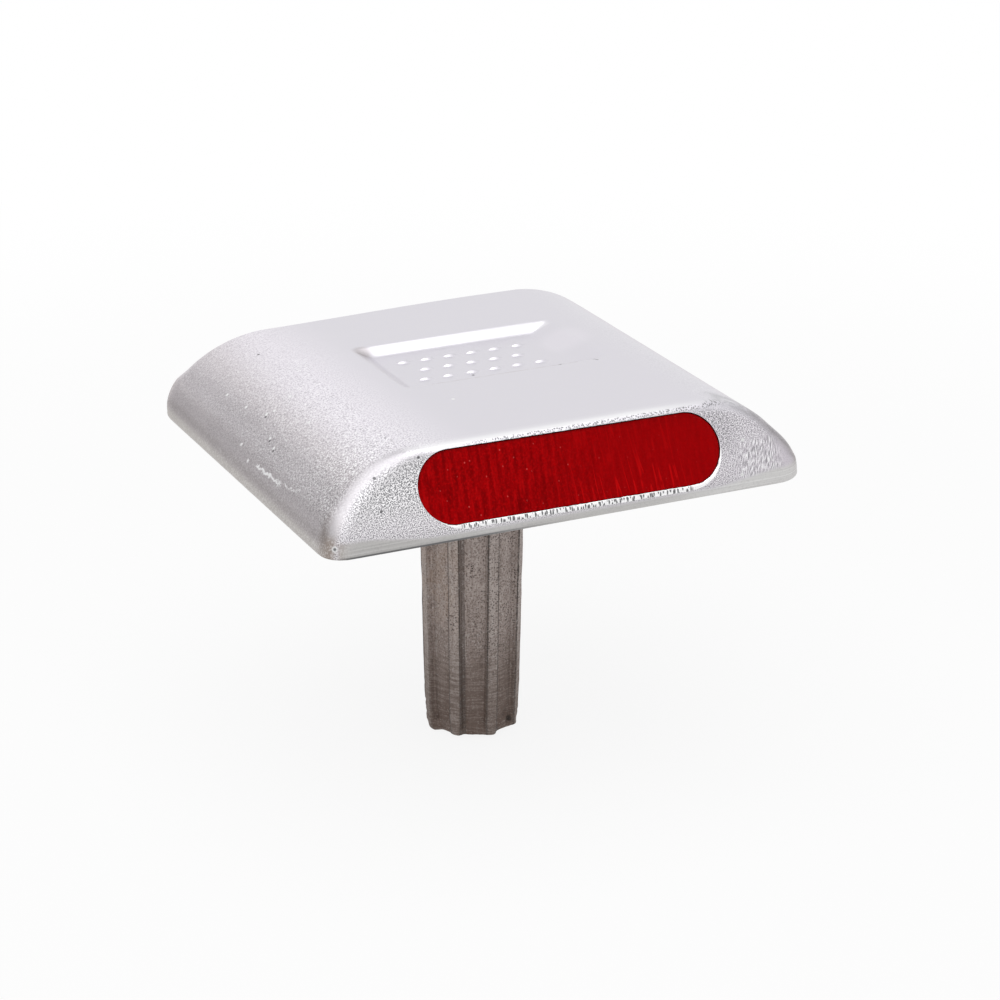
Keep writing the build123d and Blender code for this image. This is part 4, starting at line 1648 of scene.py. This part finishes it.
    def weather(self, grid: Array) -> Array:
        """Make the cast skin uneven: broad lumps, a worn step near the end, dents and a lumpy end."""
        y, z = grid[..., 1], grid[..., 2]
        radius = np.maximum(np.hypot(grid[..., 0], y), SLACK)
        step = self.step_depth * np.exp(-np.square((z - self.step_level) / self.step_width))
        low = np.abs(Undulation(22, 3.0).at(grid)) * self.low_wave + step
        inward = np.abs(Undulation(21, 9.0).at(grid)) * self.broad_wave + low * smooth_step(z, *self.low_z)
        for dent in self.dents:
            away = np.linalg.norm(grid - np.array(dent), axis=-1)
            inward = inward + self.dent_depth * smooth_step(away, *self.dent_edge)
        inward = np.where(z < self.skin_top, inward, 0.0) * smooth_step(radius, *self.skin_radius)
        lift = np.abs(Undulation(23, 5.0).at(grid)) * self.end_wave
        lift = lift + self.front_lift * smooth_step(y, *self.front_lift_y)
        lift = lift * smooth_step(z, self.end_lift_reach - self.length, -self.length)
        return raised(grid[..., :2] * (1.0 - inward / radius)[..., None], np.where(z < 0.0, z + lift, z))

    def dress(self, piece: bpy.types.Object) -> None:
        """Give the shank its finish."""
        piece.data.materials.append(RawShankMetal().material())


@dataclass
class ReflectorUnit:
    """Red lens on its backing tray and adhesive bed, let into one end face of the casting."""

    end: End
    body: CastBody
    clearance: float = 0.1
    sink: float = 0.18
    thickness: float = 1.6
    edge_radius: float = 0.25
    back_chamfer: float = 0.1
    face_shares: tuple[float, ...] = (0.0, 0.02, 0.2, 0.4, 0.6, 0.8, 0.95)
    rim_edge: Span = (0.3, 0.05)
    sharp_angle: float = 40.0

    def rings(self) -> tuple[Array, Array, Array]:
        """Rings of the lens in its own plane, from the middle of its face round the edge to the back.

        Returns:
            Points rings by columns by 2, and for each ring its inset from the outline and
            its depth behind the face.
        """
        half = self.body.pocket_height / 2 - self.clearance
        straight = self.body.pocket_length / 2 - self.clearance - half
        turn = pi / 2 - np.linspace(0.0, pi, 49)
        run = np.linspace(-straight, straight, 150)[1:-1]
        right, left = arc((straight, 0.0), half, turn), arc((-straight, 0.0), half, turn - pi)
        top = np.stack([run, np.full_like(run, half)], axis=-1)
        rim = np.concatenate([top, right, top[::-1] * np.array([1.0, -1.0]), left])
        spine = np.stack([np.clip(rim[:, 0], -straight, straight), np.zeros(len(rim))], axis=-1)
        bend, chamfer = self.edge_radius, self.back_chamfer
        face = (1.0 - np.array(self.face_shares)) * (half - bend) + bend
        curl = np.linspace(0.0, pi / 2, 5)[1:]
        back = np.array([0.0, chamfer, half * 0.5, half * 0.98, half])
        behind = self.thickness - np.array([chamfer, 0.0, 0.0, 0.0, 0.0])
        inset = np.concatenate([face, bend - bend * np.sin(curl), back])
        depth = np.concatenate([np.zeros(len(face)), bend - bend * np.cos(curl), behind])
        flat = rim + (spine - rim) * (inset / half)[:, None, None]
        flat[[0, -1]] = 0.0
        return flat, inset, depth

    def build(self) -> bpy.types.Object:
        """Build the lens and lay it into its place on the end face."""
        flat, inset, depth = self.rings()
        flat = self.body.lie.placed(flat)
        outward, sign = self.body.outward(self.end), self.end.value
        across, upward = np.array([1.0, 0.0, 0.0]), np.array([0.0, -sign * outward[2], sign * outward[1]])
        grid = self.body.pocket_middle(self.end) + flat[..., :1] * across + flat[..., 1:] * upward
        grid = grid - (self.sink + depth)[:, None, None] * outward
        grid = self.body.sagged(grid[:, ::-sign])
        rimmed = np.broadcast_to(smooth_step(inset, *self.rim_edge)[:, None], grid.shape[:2])
        name, node = f"{self.end.label}_reflector_lens", f"{self.end.label}_lens"
        return make_piece(name, grid, node, {"rim": rimmed}, self.sharp_angle)

    def dress(
        self, piece: bpy.types.Object, lens: bpy.types.Material, inner: dict[str, bpy.types.Material]
    ) -> None:
        """Give the lens its finish, and the nodes behind it theirs by kind of node."""
        piece.data.materials.append(lens)
        for kind, finish in inner.items():
            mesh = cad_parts[f"{self.end.label}_{kind}"].data
            mesh.materials.clear()
            mesh.materials.append(finish)


@dataclass
class Studio:
    """Plain pale floor, white surroundings and soft lamps."""

    floor_level: float = -AnchorShank.length
    floor_half: float = 3000.0
    floor_colour: Colour = (0.95, 0.95, 0.95)
    white: Colour = (1.0, 1.0, 1.0)
    shadow_share: float = 0.12
    shadow_reach: Span = (420.0, 170.0)
    ambient: float = 0.5

    def build_floor(self) -> None:
        """Lay a flat floor under the tip of the shank."""
        steps = np.linspace(-self.floor_half, self.floor_half, 3) * METRES
        x, y = np.meshgrid(steps, steps)
        corners = np.stack([x.ravel(), y.ravel(), np.full(9, self.floor_level * METRES)], axis=-1)
        start = np.array([0, 1, 3, 4])
        faces = np.stack([start, start + 1, start + 4, start + 3], axis=-1)
        mesh = bpy.data.meshes.new("studio_floor")
        mesh.from_pydata(corners.tolist(), [], faces.tolist())
        link("studio_floor", mesh)
        material, graph = new_material("floor_paper")
        away = graph.vector_math("LENGTH", {0: graph.millimetres()}, "Value")
        shown = graph.shown_rays() * (1.0 - self.shadow_share * away.ease(*self.shadow_reach))
        paper = graph.raw("ShaderNodeBsdfDiffuse", {}, {"Color": self.floor_colour}).outputs[0]
        both = graph.raw("ShaderNodeMixShader", {}, {0: shown, 1: paper, 2: graph.glow(self.white)})
        graph.close(both.outputs[0])
        mesh.materials.append(material)

    def build_world(self) -> None:
        """White surroundings for what is seen or mirrored, and a softer level for the light they give."""
        world = bpy.data.worlds.new("studio_surroundings")
        bpy.context.scene.world = world
        world.use_nodes = True
        graph = ShaderGraph(world.node_tree)
        strength = self.ambient + (1.0 - self.ambient) * graph.shown_rays()
        sky = graph.raw("ShaderNodeBackground", {}, {"Color": self.white, "Strength": strength})
        graph.raw("ShaderNodeOutputWorld", {}, {"Surface": sky.outputs[0]})

    def add_lamp(self, name: str, place: Point, size: float, power: float) -> None:
        """Hang a square soft lamp that faces the stud; place and size in millimetres, power in watts."""
        lamp = bpy.data.lights.new(name, "AREA")
        lamp.shape = "SQUARE"
        lamp.size = size * METRES
        lamp.energy = power
        spot = np.array(place)
        back = spot / np.linalg.norm(spot)
        side = np.cross((0.0, 1.0, 0.0), back)
        link(name, lamp).matrix_world = pose(side / np.linalg.norm(side), back, spot)

    def add_card(self, name: str, place: Point, width: float, height: float, grey: float) -> None:
        """Stand an upright grey card outside the picture for the metal to mirror; sizes in millimetres."""
        spot = np.array(place)
        along = np.array([-spot[1], spot[0], 0.0]) / np.hypot(spot[0], spot[1])
        reach = np.array([[-1.0, -1.0], [1.0, -1.0], [1.0, 1.0], [-1.0, 1.0]]) / 2
        corners = spot + reach[:, :1] * width * along + reach[:, 1:] * height * np.array([0.0, 0.0, 1.0])
        mesh = bpy.data.meshes.new(name)
        mesh.from_pydata((corners * METRES).tolist(), [], [(0, 1, 2, 3)])
        card = link(name, mesh)
        card.visible_camera = card.visible_diffuse = card.visible_shadow = False
        material, graph = new_material(name)
        graph.close(graph.glow((grey, grey, grey)))
        mesh.materials.append(material)

    def build(self) -> None:
        """Set up floor, surroundings, lamps and plain colour handling."""
        self.build_floor()
        self.build_world()
        self.add_lamp("overhead_softbox", place=(-150.0, -120.0, 900.0), size=1100.0, power=4.9)
        self.add_card("left_card", place=(-900.0, 900.0, 250.0), width=1300.0, height=900.0, grey=0.25)
        self.add_card("right_card", place=(1090.0, 280.0, 300.0), width=560.0, height=900.0, grey=0.4)
        bpy.context.scene.view_settings.view_transform = "Standard"


@dataclass
class PhotoCamera:
    """Camera at the photograph's viewing angle."""

    azimuth: float = -25.71
    elevation: float = 21.62
    roll: float = 0.193
    slide: Place = (-5.693, 11.72)
    distance: float = 582.9
    lens: float = 105.88
    sensor_width: float = 36.0
    clip_start: float = 0.01

    def build(self) -> None:
        """Place the camera: turn about the object, then slide in the picture's plane."""
        az, el, roll = radians(self.azimuth), radians(self.elevation), radians(self.roll)
        back = np.array([sin(az) * cos(el), -cos(az) * cos(el), sin(el)])
        level = np.array([cos(az), sin(az), 0.0])
        right = cos(roll) * level + sin(roll) * np.cross(back, level)
        up = np.cross(back, right)
        spot = -self.slide[0] * right - self.slide[1] * up + self.distance * back
        camera = bpy.data.cameras.new("photo_camera")
        camera.lens = self.lens
        camera.sensor_width = self.sensor_width
        camera.clip_start = self.clip_start
        holder = link("photo_camera", camera)
        holder.matrix_world = pose(right, back, spot)
        bpy.context.scene.camera = holder


def main() -> None:
    """Build the stud piece by piece, then the studio and the camera."""
    logging.basicConfig(level=logging.INFO, format="%(name)s %(message)s")
    body = CastBody()
    body.dress(body.build())
    shank = AnchorShank()
    shank.dress(shank.build())
    lens = RedLensPlastic().material()
    tray = MouldedPlastic("backing_plastic", (0.72, 0.71, 0.68), (0.6, 0.59, 0.56), 0.45).material()
    bed = MouldedPlastic("cured_adhesive", (0.09, 0.085, 0.08), (0.05, 0.047, 0.045), 0.7).material()
    for end in End:
        unit = ReflectorUnit(end, body)
        unit.dress(unit.build(), lens, {"lens_backing": tray, "adhesive_bed": bed})
    Studio().build()
    PhotoCamera().build()


if __name__ == "__main__":
    main()
